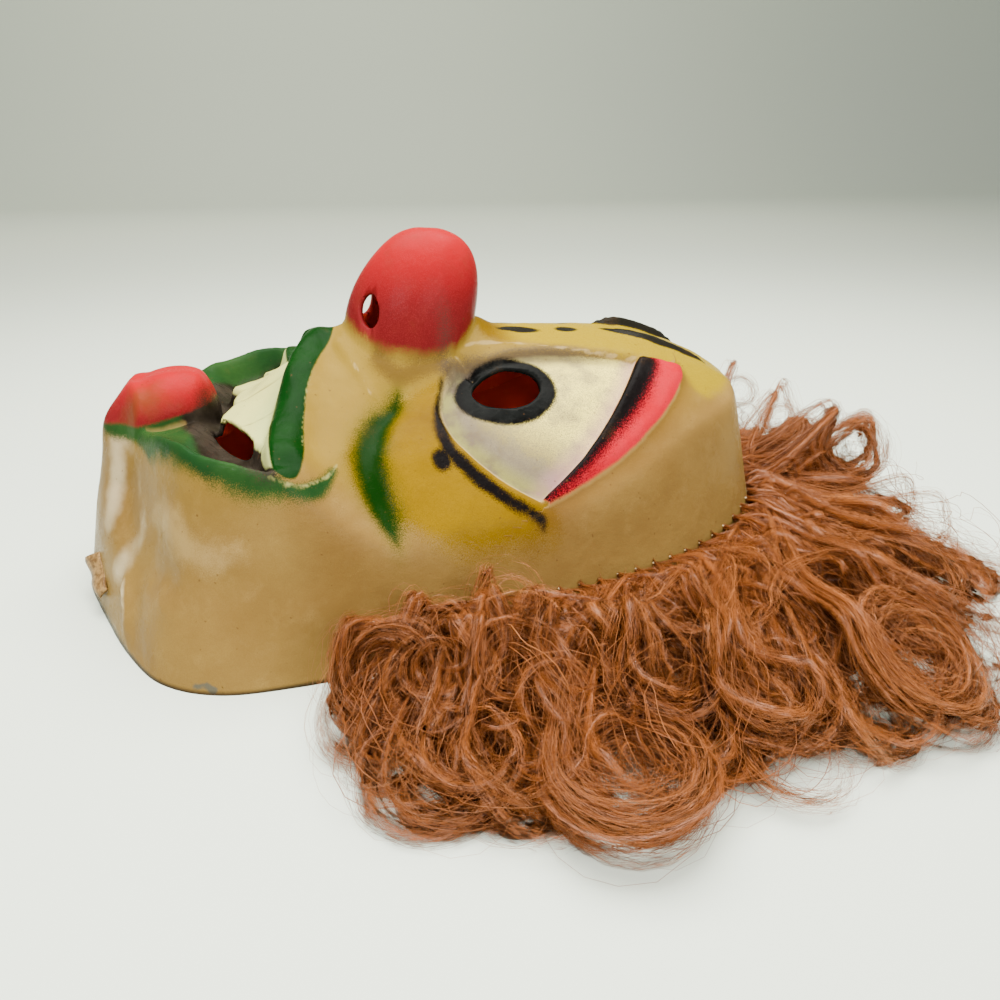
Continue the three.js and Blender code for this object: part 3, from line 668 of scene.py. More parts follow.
YELLOW_RIDGE = smooth_line([
    (-10, -12), (-10, 0), (-9.5, 10), (-5.5, 13.5), (6, 15.5), (21.5, 19), (37, 22), (51, 25),
    (62, 27), (70, 31), (72.5, 36), (76, 38.5), (81, 37), (89, 31), (97, 21), (102, 8), (103, -12)], 4)
GREEN_FOLD = smooth_line([
    (-44.5, 31), (-50, 34), (-54.5, 37.5), (-59.5, 45), (-62, 54), (-61.5, 62), (-58.5, 70), (-54, 79),
    (-49, 77), (-51, 69), (-53, 62), (-53.5, 56), (-52, 49), (-49, 41), (-44.5, 34.5)], 4)
LID_BAND = smooth_line([
    (52, 23), (58.5, 30), (53.0, 38.8), (44.5, 46.4), (34, 52.9), (22, 60.3), (10, 66.3), (0, 70.5),
    (-4, 66), (16, 52), (34, 37), (45, 26), (52, 23)], 4)[:-1]
LINE_UNDER_EYE = smooth_line([
    (-27.5, 29), (-31, 38), (-31.6, 46), (-30, 54), (-25.6, 59.5), (-20, 64), (-13, 68), (-6, 71),
    (-0.5, 73.4)])
# pale lines along the lip's corner and the upper lip's edge: partly worn paint, partly painted highlight
LIP_CORNER = smooth_line([(-91, 69.9), (-87.4, 71.2), (-84.4, 71.7), (-81.5, 71.3), (-78.3, 69.8),
                          (-75.2, 67), (-71.7, 62.5), (-69.3, 58.5)])
LIP_EDGE = smooth_line([(-72.3, 18), (-75.5, 27), (-77.5, 35.5), (-78.8, 44.4), (-79.7, 55.7)])
NOSE_SHADE = smooth_line([(-50, 20), (-47.6, 22.8), (-42.6, 26.2), (-34.5, 25.5), (-26, 24)])
print("yellow cheek:", len(YELLOW_CHEEK), "points, green fold:", len(GREEN_FOLD))

# %% [markdown]
# The distances themselves. Most are read straight off an outline or a line. The red of the tongue
# and the green of the chin also end at a height, as on the real mask, and the cracks, the bare spot
# and the painted highlights and reflections of the chin and the jaw follow lines in space.

# %% Paint distances
OUTLINES = {"paint_upper_lip": UPPER_GREEN, "paint_white": EYE_OUTLINE, "paint_pink": LID_OUTLINE,
            "paint_band": LID_BAND}
EDGES = {"past_lid": EYE_LID, "past_low": EYE_LOW, "nose_shade": NOSE_SHADE}
NEAR_SIDE_ONLY = 60.0  # mm added to distances on the far side, which puts them out of reach


def mouth_paint(areas, plan_x, plan_y, x, y, z):
    """Distances inside the coats of the mouth, the nose and the tongue, and to the lines on them."""
    h = np.abs(y)
    tongue = (0.985 - bulb_share(plan_x, plan_y, TONGUE)) * 18
    tongue_red = np.minimum(tongue, z - 67.0 - 0.2 * (plan_x + 150))
    tongue_red = np.minimum(tongue_red, 0.30 * (-111.0 - x + 0.40 * y))
    nose_red = (0.965 - bulb_share(plan_x, plan_y, NOSE)) * 24.5
    areas["paint_red"] = np.maximum(nose_red, tongue_red)
    above_chin = 0.6 * (z - 63.6) + 10 * rise(-134, -124, x)
    areas["paint_lower_lip"] = np.minimum(depth_inside(x, h, LOWER_GREEN), above_chin)
    far_lip = 6.0 * rise(20, 45, y) * rise(-116, -100, x)
    areas["paint_mouth"] = depth_inside(x, h + far_lip, MOUTH_BLACK)
    past_teeth, areas["tooth_gap"] = teeth_measures(x, h)
    upper_lip, lip_side, _ = along(x, h, UPPER_LIP)
    teeth = np.minimum(-past_teeth, lip_side * upper_lip + 2.0)
    areas["paint_teeth"] = np.minimum(teeth, 68.6 - h)
    # pale lines on the lips: partly worn paint, partly painted highlight
    areas["lip_wear_and_highlight"] = np.minimum(along(x, h, LIP_CORNER)[0], along(x, h, LIP_EDGE)[0] + 0.30)
    areas["tongue_worn"] = 1 - np.hypot((plan_x + 139) / 13, (plan_y + 11.5) / 6.5)
    beside_foot = rise(-122, -114, x) + rise(0, 6, y) + rise(-134, -140, plan_x)
    areas["tongue_foot"] = np.abs(np.minimum(tongue, 4)) + 9 * beside_foot


def eye_paint(areas, x, h):
    """Distances inside the coats, and to the lines, round the eye and on the brow."""
    outer_lid, outer_side, outer_share = along(x, h, LID_OUTER)
    areas["past_outer"] = np.where(outer_side > 0, outer_lid, -outer_lid) - 4 * rise(0.3, 0.0, outer_share)
    areas["iris"] = (1 - np.hypot((x + 4) / 20, (h - 34.1) / 11.6)) * 14
    line, _, share = along(x, h, LINE_UNDER_EYE)
    half_width = 0.5 + 2.0 * rise(0.0, 0.35, share) - 1.1 * rise(0.6, 1.0, share)
    blob = 3.5 - np.hypot(x + 33.0, h - 57.6)
    areas["paint_line"] = np.maximum(half_width - line, blob)
    dash = (1 - np.hypot((x - 8) / 8.6, (h - 5.6 - 0.12 * (x - 8)) / 2.6)) * 2.6
    dot = (1 - np.hypot((x - 28.6) / 5.0, (h - 5.8) / 2.5)) * 2.5
    areas["paint_marks"] = np.maximum(np.maximum(dash, dot), depth_inside(x, h, BROW) + 0.8)
    areas["eye_shade"] = np.minimum(along(x, h, EYE_TOP)[0] + 3.5 * rise(15, 52, x),
                                    0.75 * np.hypot(x + 23, h - 26))


def wear(areas, x, y, z):
    """Painted highlights, painted reflections and cracks on the near side; a brown patch and painted shade on
    both.
    """
    h = np.abs(y)
    place = np.stack([x, -h, z], axis=-1)
    near_side = NEAR_SIDE_ONLY * rise(2, 6, y)

    def nearest(*lines):
        return np.min([near_line(place, line) for line in lines], axis=0) + near_side

    # painted highlights on the chin, painted reflections on the jaw
    areas["chin_highlight"] = nearest(CHIN_BAND, CHIN_SIDE)
    areas["chin_crest_highlight"] = nearest(CHIN_CREST)
    areas["jaw_painted_reflection"] = np.minimum(nearest(JAW_GLOSS), nearest(LOW_GLOSS) + 2.5)
    areas["crack"] = nearest(*CRACKS)
    areas["bare_spot"] = nearest(BARE_SPOT)
    # a brown patch on the wall beside the corner of the mouth, and painted shade in a band beyond the lid
    areas["brown_patch_and_lid_shade"] = np.maximum(1 - np.hypot((x + 71) / 20, (h - 79) / 11),
                                0.8 - np.hypot((x - 45) / 26, (h - 60) / 7))


def paint_distances(plan_x, plan_y, x, y, z):
    """All the painted areas as distances, for one set of points of the skin."""
    h = np.abs(y)
    areas = {name: depth_inside(x, h, outline) for name, outline in OUTLINES.items()}
    areas.update({name: along(x, h, edge)[0] for name, edge in EDGES.items()})
    areas["paint_yellow"] = np.maximum(depth_inside(x, h, YELLOW_CHEEK), depth_inside(x, h, YELLOW_RIDGE))
    areas["yellow_bright"] = rise(-4, 10, x) * rise(52, 42, h)
    areas["paint_fold"] = depth_inside(x, h, GREEN_FOLD) - 6 * rise(66, 84, h)
    nose, tongue = bulb_share(plan_x, plan_y, NOSE), bulb_share(plan_x, plan_y, TONGUE)
    # painted light: the red of the nose and the tongue is lighter towards the top, where the light falls
    nose_top = np.where(nose < 1.02, rise(104, 131, z), 0)
    areas["red_painted_top_light"] = np.where(tongue < 1.02, rise(70, 83, z), nose_top)
    # pale lines on the ridge and the creases beside the nose: partly worn paint, partly painted highlight
    wear_and_highlight = np.minimum(along(x, h, NOSE_CREASE)[0], along(x, h, PINCH)[0]) + 0.5
    wear_and_highlight = np.minimum(along(x, h, RIDGE_LINE)[0], wear_and_highlight)
    areas["worn_and_highlight_line"] = np.where(nose < 1.0, 9.0, wear_and_highlight)
    areas["from_rim"] = inside_rim(x, h)
    mouth_paint(areas, plan_x, plan_y, x, y, z)
    eye_paint(areas, x, h)
    wear(areas, x, y, z)
    return areas


paint = paint_distances(plan_x, plan_y, outer_x, outer_y, outer_z)
print("painted areas:", len(paint))

# %% [markdown]
# A mesh is filled from whole arrays at once with foreach_set, which takes a fraction of a second
# even for hundreds of thousands of faces. Adding faces one by one would take minutes.

# %% Meshes from arrays
def new_mesh(name, points, quads, triangles=None):
    """A smooth mesh of quads and triangles. Its points, in mm, are moved to the frame's place, in metres."""
    triangles = np.zeros((0, 3), int) if triangles is None else triangles
    mesh = bpy.data.meshes.new(name)
    mesh.vertices.add(len(points))
    placed = (points + np.array([SHIFT, 0, 0])) * MM
    mesh.vertices.foreach_set("co", placed.astype(np.float32).ravel())
    mesh.loops.add(4 * len(quads) + 3 * len(triangles))
    corners = np.concatenate([quads.ravel(), triangles.ravel()])
    mesh.loops.foreach_set("vertex_index", corners.astype(np.int32))
    mesh.polygons.add(len(quads) + len(triangles))
    starts = np.concatenate([4 * np.arange(len(quads)), 4 * len(quads) + 3 * np.arange(len(triangles))])
    mesh.polygons.foreach_set("loop_start", starts.astype(np.int32))
    mesh.polygons.foreach_set("use_smooth", np.ones(len(starts), bool))
    mesh.update(calc_edges=True)
    return mesh


def add_number(mesh, name, values):
    """Keeps one number per point, which a material reads by its name."""
    attribute = mesh.attributes.new(name, "FLOAT", "POINT")
    attribute.data.foreach_set("value", np.asarray(values, np.float32).ravel())


def add_object(name, mesh, material, slot, *nodes):
    """Makes a mesh a piece of the mask, which rides its one body and may stand in for CAD nodes."""
    piece = bpy.data.objects.new(name, mesh)
    bpy.context.scene.collection.objects.link(piece)
    mesh.materials.append(material)
    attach(piece, "root")
    if nodes:
        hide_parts(*nodes)
    return piece


def without_spare(points, quads, numbers):
    """Drops the points that no face uses."""
    used = np.unique(quads)
    new_number = np.full(len(points), -1)
    new_number[used] = np.arange(len(used))
    return points[used], new_number[quads], {k: n[used] for k, n in numbers.items()}


print("the shell has", len(shell_points), "points before the spare ones are dropped")

# %% [markdown]
# Materials are built from nodes, and joining nodes by hand takes four lines each time. This class
# takes one: a method makes a node, feeds it and gives back its output. Wherever a value goes in, it
# may be an output, a number, a colour or the name of a number that the mesh keeps at its points.

# %% Material tools
class Nodes:
    """Adds nodes to one material and joins them."""

    def __init__(self, name):
        self.material = bpy.data.materials.new(name)
        self.material.use_nodes = True
        self.tree = self.material.node_tree
        self.shader = self.tree.nodes["Principled BSDF"]
        self.coordinates = self.tree.nodes.new("ShaderNodeTexCoord").outputs["Object"]

    def join(self, source, socket):
        """Feeds a socket from an output, the name of an attribute, a colour or a number."""
        source = self.attribute(source) if isinstance(source, str) else source
        if hasattr(source, "links"):
            self.tree.links.new(source, socket)
        elif isinstance(source, tuple):
            socket.default_value = (*source, 1.0)
        else:
            socket.default_value = source

    def attribute(self, name):
        """A number that the mesh keeps at its points."""
        node = self.tree.nodes.new("ShaderNodeAttribute")
        node.attribute_name = name
        return node.outputs["Fac"]

    def noise(self, size_mm, detail=3.0, roughness=0.55):
        """Noise in the piece's own space, with lumps of about size_mm."""
        node = self.tree.nodes.new("ShaderNodeTexNoise")
        node.inputs["Scale"].default_value = 1000.0 / size_mm
        node.inputs["Detail"].default_value = detail
        node.inputs["Roughness"].default_value = roughness
        self.tree.links.new(self.coordinates, node.inputs["Vector"])
        return node.outputs["Fac"]

    def math(self, kind, a, b=0.0):
        """One sum or function of one or two values."""
        node = self.tree.nodes.new("ShaderNodeMath")
        node.operation = kind
        self.join(a, node.inputs[0])
        self.join(b, node.inputs[1])
        return node.outputs[0]

    def add(self, a, b, times=1.0):
        """a + b * times"""
        return self.math("ADD", a, b if times == 1.0 else self.math("MULTIPLY", b, times))

    def ramp(self, value, start, end, low=0.0, high=1.0):
        """low up to start, high from end on, and a smooth step between them."""
        node = self.tree.nodes.new("ShaderNodeMapRange")
        node.interpolation_type = "SMOOTHSTEP"
        for number, source in enumerate((value, start, end, low, high)):
            self.join(source, node.inputs[number])
        return node.outputs[0]

    def mix(self, share, below, above):
        """Two colours in the shares 1 - share and share."""
        node = self.tree.nodes.new("ShaderNodeMix")
        node.data_type = "RGBA"
        self.join(share, node.inputs[0])
        self.join(below, node.inputs[6])
        self.join(above, node.inputs[7])
        return node.outputs[2]

    def tint(self, below, value, start, end, share, above):
        """Mixes a colour over another where a value goes from start to end, up to a share."""
        return self.mix(self.ramp(value, start, end, 0, share), below, above)

    def bump(self, height, depth_mm, below=None):
        """Tilts the normal as a height from 0 to depth_mm would."""
        node = self.tree.nodes.new("ShaderNodeBump")
        node.inputs["Distance"].default_value = depth_mm * MM
        self.join(height, node.inputs["Height"])
        if below is not None:
            self.join(below, node.inputs["Normal"])
        return node.outputs["Normal"]


# %% [markdown]
# The painted plastic: mottled tan below, with painted highlights and reflections on the chin and the
# jaw, then the coats in the order in which they were sprayed, then wear and painted highlights: pale
# broken lines on the ridges and the lips, partly worn paint and partly painted highlight, brown grime,
# specks and scuffs. A coat covers what is below where its distance is above zero, and grain shakes
# that edge as an airbrush's droplets do. Painting in the real order keeps every overlap right, with
# no extra outlines.

# %% Painted plastic
GRIME, WORN_AND_HIGHLIGHT_EDGE, BLACK = (0.10, 0.048, 0.015), (0.42, 0.30, 0.13), (0.004, 0.003, 0.003)


class Plastic(Nodes):
    """The painted plastic's nodes, with the noises that its coats share."""

    def __init__(self):
        super().__init__("painted_plastic")
        self.fine = self.noise(0.30, 0.0)
        self.grain = self.math("SUBTRACT", self.fine, 0.5)
        self.drift = self.math("SUBTRACT", self.noise(7, 3.0), 0.5)
        self.broad = self.noise(38, 4.0, 0.6)
        self.blotch = self.noise(11, 4.0, 0.6)
        self.speck = self.noise(1.9, 1.0, 0.5)

    def coat(self, below, distance, paint, soft, rough=1.0, strength=1.0):
        """One coat of paint. soft is the width of its edge in mm, rough the grain in it."""
        shaken = self.add(distance, self.grain, 2.6 * rough * soft)
        shaken = self.add(shaken, self.drift, 1.6 * min(soft, 1.2))
        return self.tint(below, shaken, -soft, soft, strength, paint)

    def two_tone(self, dark, light, field=None, start=0.3, end=0.7):
        """Goes from dark to light as a field goes from start to end."""
        field = self.broad if field is None else field
        return self.mix(self.ramp(field, start, end), dark, light)


def bare_plastic(n):
    """Mottled tan, with painted highlights on the chin and painted reflections of the surroundings on the
    jaw.
    """
    tan = n.two_tone((0.180, 0.103, 0.027), (0.238, 0.145, 0.038), None, 0.32, 0.70)
    tan = n.tint(tan, n.blotch, 0.52, 0.78, 0.4, (0.32, 0.205, 0.060))
    tan = n.tint(tan, n.fine, 0.3, 0.7, 0.28, (0.15, 0.075, 0.016))
    # a brown patch beside the mouth's corner, and painted shade beyond the lid
    tan = n.tint(tan, "brown_patch_and_lid_shade", 0.0, 0.9, 0.42, (0.13, 0.062, 0.014))
    warm = n.two_tone((0.200, 0.125, 0.012), (0.256, 0.164, 0.018), None, 0.32, 0.70)
    tan = n.tint(tan, "from_rim", 17.0, 34.0, 0.85, warm)
    # painted highlights: a pale band down the chin and a paler line on its crest
    tan = n.tint(tan, n.add("chin_highlight", n.drift, 5.0), 7.0, 1.0, 0.72, (0.50, 0.40, 0.24))
    tan = n.tint(tan, n.add("chin_crest_highlight", n.drift, 1.6), 1.5, 0.2, 0.8, (0.56, 0.45, 0.27))
    # painted reflections of the surroundings, as pale patches on the jaw
    gloss = n.add("jaw_painted_reflection", n.math("SUBTRACT", n.blotch, 0.5), 16.0)
    return n.tint(tan, n.add(gloss, n.grain, 5.0), 9.0, 0.0, 0.42, (0.42, 0.290, 0.115))


def face_coats(n, colour):
    """Yellow, the green fold, the mouth, the lips, and the red of the nose and the tongue, with painted light
    on their tops.
    """
    yellow = n.two_tone((0.122, 0.062, 0.0), (0.200, 0.112, 0.0))
    yellow = n.mix("yellow_bright", yellow, (0.300, 0.205, 0.0))
    yellow = n.tint(yellow, n.fine, 0.4, 0.75, 0.35, (0.12, 0.060, 0.0))
    colour = n.coat(colour, "paint_yellow", yellow, 2.2)
    fold = n.add("paint_fold", 1.4)
    colour = n.coat(colour, fold, (0.046, 0.060, 0.001), 6.4, 0.5, 0.65)
    colour = n.coat(colour, n.math("SUBTRACT", fold, 0.4), (0.0008, 0.019, 0.0010), 2.6, 0.8, 0.98)
    lower = n.two_tone((0.007, 0.032, 0.008), (0.024, 0.066, 0.014))
    colour = n.coat(colour, "paint_lower_lip", lower, 1.0, 0.9)
    dark = n.two_tone((0.011, 0.008, 0.005), (0.030, 0.023, 0.017), n.blotch)
    colour = n.coat(colour, "paint_mouth", dark, 1.5)
    teeth = n.two_tone((0.27, 0.25, 0.08), (0.52, 0.51, 0.155), "tooth_gap", 0.0, 0.9)
    teeth = n.tint(teeth, "paint_upper_lip", -12.0, 0.0, 0.35, (0.30, 0.42, 0.19))
    colour = n.coat(colour, "paint_teeth", teeth, 0.25, 0.3)
    upper = n.two_tone((0.0010, 0.018, 0.0014), (0.0034, 0.033, 0.0030))
    colour = n.coat(colour, "paint_upper_lip", upper, 0.4, 0.5)
    colour = n.tint(colour, n.add("nose_shade", n.grain, 5.0), 4.4, 0.8, 0.75, (0.085, 0.045, 0.011))
    # painted light: darker red low on the bulbs, lighter red on their tops
    red = n.mix("red_painted_top_light", (0.135, 0.0085, 0.010), (0.34, 0.0020, 0.0072))
    red = n.tint(red, n.blotch, 0.4, 0.75, 0.35, (0.20, 0.018, 0.014))
    red = n.tint(red, n.fine, 0.45, 0.8, 0.25, (0.40, 0.030, 0.036))
    red = n.tint(red, n.add("tongue_worn", n.drift, 1.2), -0.2, 0.9, 0.75, (0.135, 0.036, 0.010))
    colour = n.coat(colour, "paint_red", red, 0.8, 0.7)
    return n.tint(colour, n.add("tongue_foot", n.drift, 1.5), 1.2, 0.1, 0.45, (0.30, 0.19, 0.055))


def eye_coats(n, colour):
    """The eye's white and shaded edges, painted shade and highlight beyond the lid, the pink lid with its
    dark band, the iris.
    """
    white = n.two_tone((0.135, 0.098, 0.060), (0.95, 0.78, 0.18), "past_low", 6.0, 30.0)
    white = n.tint(white, n.blotch, 0.42, 0.66, 0.55, (0.24, 0.20, 0.13))
    white = n.tint(white, n.fine, 0.40, 0.70, 0.62, (0.13, 0.11, 0.085))
    white = n.tint(white, "past_lid", 8.0, 1.0, 0.6, (0.44, 0.22, 0.23))
    olive = n.math("MULTIPLY", n.ramp("past_low", 8.5, 2.0, 0, 0.55), n.ramp(n.blotch, 0.35, 0.6))
    white = n.mix(olive, white, (0.26, 0.25, 0.035))
    colour = n.coat(colour, "paint_white", white, 0.4, 0.5)
    colour = n.tint(colour, n.add("past_low", n.drift, 0.8), 1.2, 0.3, 0.6, (0.44, 0.33, 0.13))
    colour = n.tint(colour, n.add("eye_shade", n.grain, 6.0), 5.2, 0.6, 0.85, (0.055, 0.040, 0.030))
    # painted shade beyond the lid, where the surface steps down from its raised outer edge
    shade_beyond_lid = n.math("MULTIPLY", n.ramp("past_outer", -9.0, -0.5), n.ramp("past_outer", 0.6, 0.0))
    colour = n.mix(n.math("MULTIPLY", shade_beyond_lid, 0.55), colour, (0.12, 0.052, 0.010))
    # a painted highlight along the lid's outer edge
    line = n.math("ABSOLUTE", n.add("past_outer", n.drift, 0.8))
    colour = n.tint(colour, line, 0.9, 0.2, 0.7, (0.28, 0.17, 0.05))
    pink = n.two_tone((0.45, 0.0020, 0.013), (0.47, 0.010, 0.024), n.blotch, 0.35, 0.7)
    pink = n.tint(pink, n.fine, 0.45, 0.75, 0.35, (0.26, 0.008, 0.02))
    colour = n.coat(colour, "paint_pink", pink, 0.35, 0.4)
    band = n.ramp(n.add("paint_band", n.grain, 7.0), -2.6, 0.9)
    band = n.math("MULTIPLY", band, n.ramp("paint_pink", -0.15, 0.25))
    colour = n.mix(band, colour, BLACK)
    iris = n.two_tone((0.0014, 0.0012, 0.0010), (0.0044, 0.0048, 0.0044), "iris", 0.2, 3.2)
    iris = n.tint(iris, n.blotch, 0.45, 0.7, 0.35, (0.016, 0.018, 0.017))
    colour = n.coat(colour, "iris", iris, 0.7, 0.9)
    colour = n.coat(colour, "paint_line", BLACK, 1.2, 0.8)
    return n.coat(colour, "paint_marks", (0.010, 0.009, 0.006), 0.5, 0.6)


def wear_coats(n, colour):
    """Ridge and lip lines of wear and painted highlight, the bare spot, cracks, the dark rim, specks and
    grime.
    """
    # pale ridge lines: partly worn paint, partly painted highlight
    colour = n.tint(colour, n.add("worn_and_highlight_line", n.drift, 3.2), 0.8, 0.1, 0.45, WORN_AND_HIGHLIGHT_EDGE)
    # pale lines on the lips: partly worn paint, partly painted highlight
    colour = n.tint(colour, n.add("lip_wear_and_highlight", n.drift, 1.8), 0.65, 0.0, 0.55, (0.36, 0.34, 0.11))
    colour = n.tint(colour, n.add("bare_spot", n.drift, 3.0), 1.7, 0.7, 0.85, (0.075, 0.078, 0.062))
    colour = n.tint(colour, n.add("crack", n.drift, 0.3), 0.42, 0.10, 0.8, (0.045, 0.026, 0.010))
    colour = n.tint(colour, "from_rim", 0.75, 0.10, 0.9, (0.022, 0.015, 0.010))
    colour = n.tint(colour, n.speck, 0.26, 0.20, 0.6, (0.08, 0.035, 0.012))
    grime = n.math("MULTIPLY", n.ramp(n.blotch, 0.56, 0.75), n.ramp(n.fine, 0.45, 0.7))
    return n.mix(n.math("MULTIPLY", grime, 0.35), colour, GRIME)


def painted_plastic():
    """All coats over each other, dark red on the inner skin, and a finely crumpled, glossy surface."""
    n = Plastic()
    colour = wear_coats(n, eye_coats(n, face_coats(n, bare_plastic(n))))
    colour = n.tint(colour, "inner_side", 0.88, 1.0, 1.0, (0.78, 0.040, 0.007))
    n.join(colour, n.shader.inputs["Base Color"])
    n.join(n.ramp(n.blotch, 0.3, 0.75, 0.20, 0.32), n.shader.inputs["Roughness"])
    n.shader.inputs["Specular IOR Level"].default_value = 0.02
    crumple = n.bump(n.noise(5.0, 4.0, 0.6), 0.30)
    n.join(n.bump(n.fine, 0.05, crumple), n.shader.inputs["Normal"])
    return n.material


plastic = painted_plastic()
print("painted plastic:", len(plastic.node_tree.nodes), "nodes")

# %% [markdown]
# The shell itself, the one large piece of the mask. Both skins carry the same paint numbers, and
# the inner one is marked, because dark red shows through the holes. It stands in for the shell of
# the frame, whose form it follows with far more faces.

# %% Shell
numbers = {name: np.concatenate([value.ravel(), value.ravel()]) for name, value in paint.items()}
numbers["inner_side"] = np.concatenate([np.zeros(outer_x.size), np.ones(outer_x.size)])
shell_points, shell_quads, numbers = without_spare(shell_points, shell_quads, numbers)
shell_mesh = new_mesh("painted_shell", shell_points, shell_quads)
for name, value in numbers.items():
    add_number(shell_mesh, name, value)
add_object("painted_shell", shell_mesh, plastic, "shell_plastic", "mask_shell")
print("shell mesh:", len(shell_mesh.vertices), "points")

# %% [markdown]
# A torn flap of plastic curls away from the rim of the chin. On the real mask it is part of the
# sheet, but a tear in the shell's grid would need cells far finer than the rest. So it is a small
# leaf of its own, set against the chin, with two skins that are joined round its edge.

# %% Torn flap
FLAP_ROOT = np.array([(-160.5, -15.5, 19.5), (-156.5, -32.0, 11.5)])
FLAP_END = np.array([(-170.0, -3.5, 9.5), (-160.0, -27.5, 3.0)])
FLAP_LINES = 14


def torn_flap():
    """Straight lines from root to end, bowed out by half a sine. The two skins close up towards the end."""
    s, t = np.meshgrid(np.linspace(0, 1, FLAP_LINES), np.linspace(0, 1, FLAP_LINES), indexing="ij")
    out = np.array([-0.80, -0.52, 0.30])
    reach = t * (0.55 + 0.45 * np.sin(math.pi * s) ** 0.6)
    root = FLAP_ROOT[0] + s[..., None] * (FLAP_ROOT[1] - FLAP_ROOT[0])
    end = FLAP_END[0] + s[..., None] * (FLAP_END[1] - FLAP_END[0])
    curl = 2.6 * np.sin(math.pi * reach) + 0.5 * np.sin(9 * s + 2 * t)
    middle = root + reach[..., None] * (end - root) + curl[..., None] * out
    half = 0.55 * np.sqrt(np.clip(1 - t**4, 0.05, 1))
    front = middle + half[..., None] * out
    back = middle - half[..., None] * out
    front[..., 2] = np.maximum(front[..., 2], 0.4)
    back[..., 2] = np.maximum(back[..., 2], 0.2)
    quads = shell_faces(np.ones((FLAP_LINES - 1, FLAP_LINES - 1), bool))
    # the leaf's lines run the other way round from the shell's, so its faces are turned
    return np.vstack([front.reshape(-1, 3), back.reshape(-1, 3)]), quads[:, ::-1]


flap_points, flap_quads = torn_flap()
torn = Nodes("torn_plastic")
streak = torn.ramp(torn.noise(1.6, 3.0), 0.35, 0.65)
torn.join(torn.mix(streak, (0.120, 0.060, 0.018), (0.30, 0.175, 0.060)), torn.shader.inputs["Base Color"])
torn.shader.inputs["Roughness"].default_value = 0.45
torn.shader.inputs["Specular IOR Level"].default_value = 0.15
flap_mesh = new_mesh("torn_flap", flap_points, flap_quads)
add_object("torn_flap", flap_mesh, torn.material, "shell_plastic")
print("torn flap:", 2 * len(flap_quads), "triangles")

# %% [markdown]
# The punched holes of the hairline run in two rows, a nearly constant distance in from the rim.
# Punching threw up a small pale burr beside each hole, and hair covers the hole itself. So only
# the burrs are made: each is a closed bump of a few dozen faces on the skin, and all are one mesh.

# %% Hairline
HAIR_START_X = -66.0
HOLE_STEP = 8.4
ROOT_SIDE = RIM_SIDE[(RIM_SIDE[:, 0] >= HAIR_START_X) & (RIM_SIDE[:, 1] > 0)]
ROOT_LINE = np.vstack([ROOT_SIDE * [1, -1], ROOT_SIDE[::-1]])
ROOT_RUN = np.concatenate([[0], np.cumsum(np.hypot(*np.diff(ROOT_LINE, axis=0).T))])


def on_root_line(run):
    """The plan point a distance along the line on which the hair is rooted."""
    return np.stack([np.interp(run, ROOT_RUN, ROOT_LINE[:, k]) for k in (0, 1)], axis=-1)


def hairline(depth_back, depth_front, offset):
    """A row of holes a step apart, at a depth inside the root line, from one temple to the other."""
    at = np.arange(offset, ROOT_RUN[-1], HOLE_STEP)
    p = on_root_line(at)
    t = on_root_line(at + 1) - on_root_line(at - 1)
    t /= np.linalg.norm(t, axis=1, keepdims=True)
    inward = np.stack([-t[:, 1], t[:, 0]], axis=1)
    depth = depth_back + (depth_front - depth_back) * rise(70, 112, p[:, 0])
    return p + inward * depth[:, None], -inward, at / ROOT_RUN[-1]


rows = hairline(5.1, 6.3, 2.0), hairline(3.5, 4.8, 2.0 + HOLE_STEP / 2)
holes, hole_outward, hole_share = (np.concatenate(both) for both in zip(*rows))
burr_places = holes - 0.35 * hole_outward
hole_x, hole_y, hole_z, _ = skin(holes[:, 0], holes[:, 1])
hole_points = np.stack([hole_x, hole_y, hole_z], axis=1)
burr_middles = np.stack(skin(burr_places[:, 0], burr_places[:, 1])[:3], axis=1)
print("hair holes:", len(hole_points))


def burrs(points, outward, seed=3):
    """Three rings of six points and two tips make a bump, which leans outwards at each hole."""
    rng = np.random.default_rng(seed)
    sides = np.arange(6) * math.pi / 3
    shape = [np.array([0, 0, 0.62])]
    for ring_size, ring_height in ((0.32, 0.42), (0.46, 0.0), (0.38, -0.5)):
        shape += [np.array([ring_size * math.cos(a), ring_size * math.sin(a), ring_height]) for a in sides]
    shape.append(np.array([0, 0, -0.7]))
    shape = np.array(shape)
    lean = np.concatenate([outward * 0.95, np.full((len(outward), 1), 0.30)], axis=1)
    lean /= np.linalg.norm(lean, axis=1, keepdims=True)
    aside = np.cross(lean, [0, 0, 1.0])
    aside /= np.linalg.norm(aside, axis=1, keepdims=True)
    third = np.cross(lean, aside)
    size = rng.uniform(0.75, 1.25, (len(points), 1, 1))
    local = shape[None] * size
    placed = (points[:, None] + local[..., :1] * aside[:, None] + local[..., 1:2] * third[:, None]
              + local[..., 2:] * lean[:, None])
    quads, triangles = [], []
    for k in range(6):
        m = (k + 1) % 6
        triangles += [(0, 1 + k, 1 + m), (19, 13 + m, 13 + k)]
        quads += [(1 + k, 7 + k, 7 + m, 1 + m), (7 + k, 13 + k, 13 + m, 7 + m)]
    base = (np.arange(len(points)) * len(shape))[:, None, None]
    quads = (np.array(quads) + base).reshape(-1, 4)
    triangles = (np.array(triangles) + base).reshape(-1, 3)
    return placed.reshape(-1, 3), quads, triangles


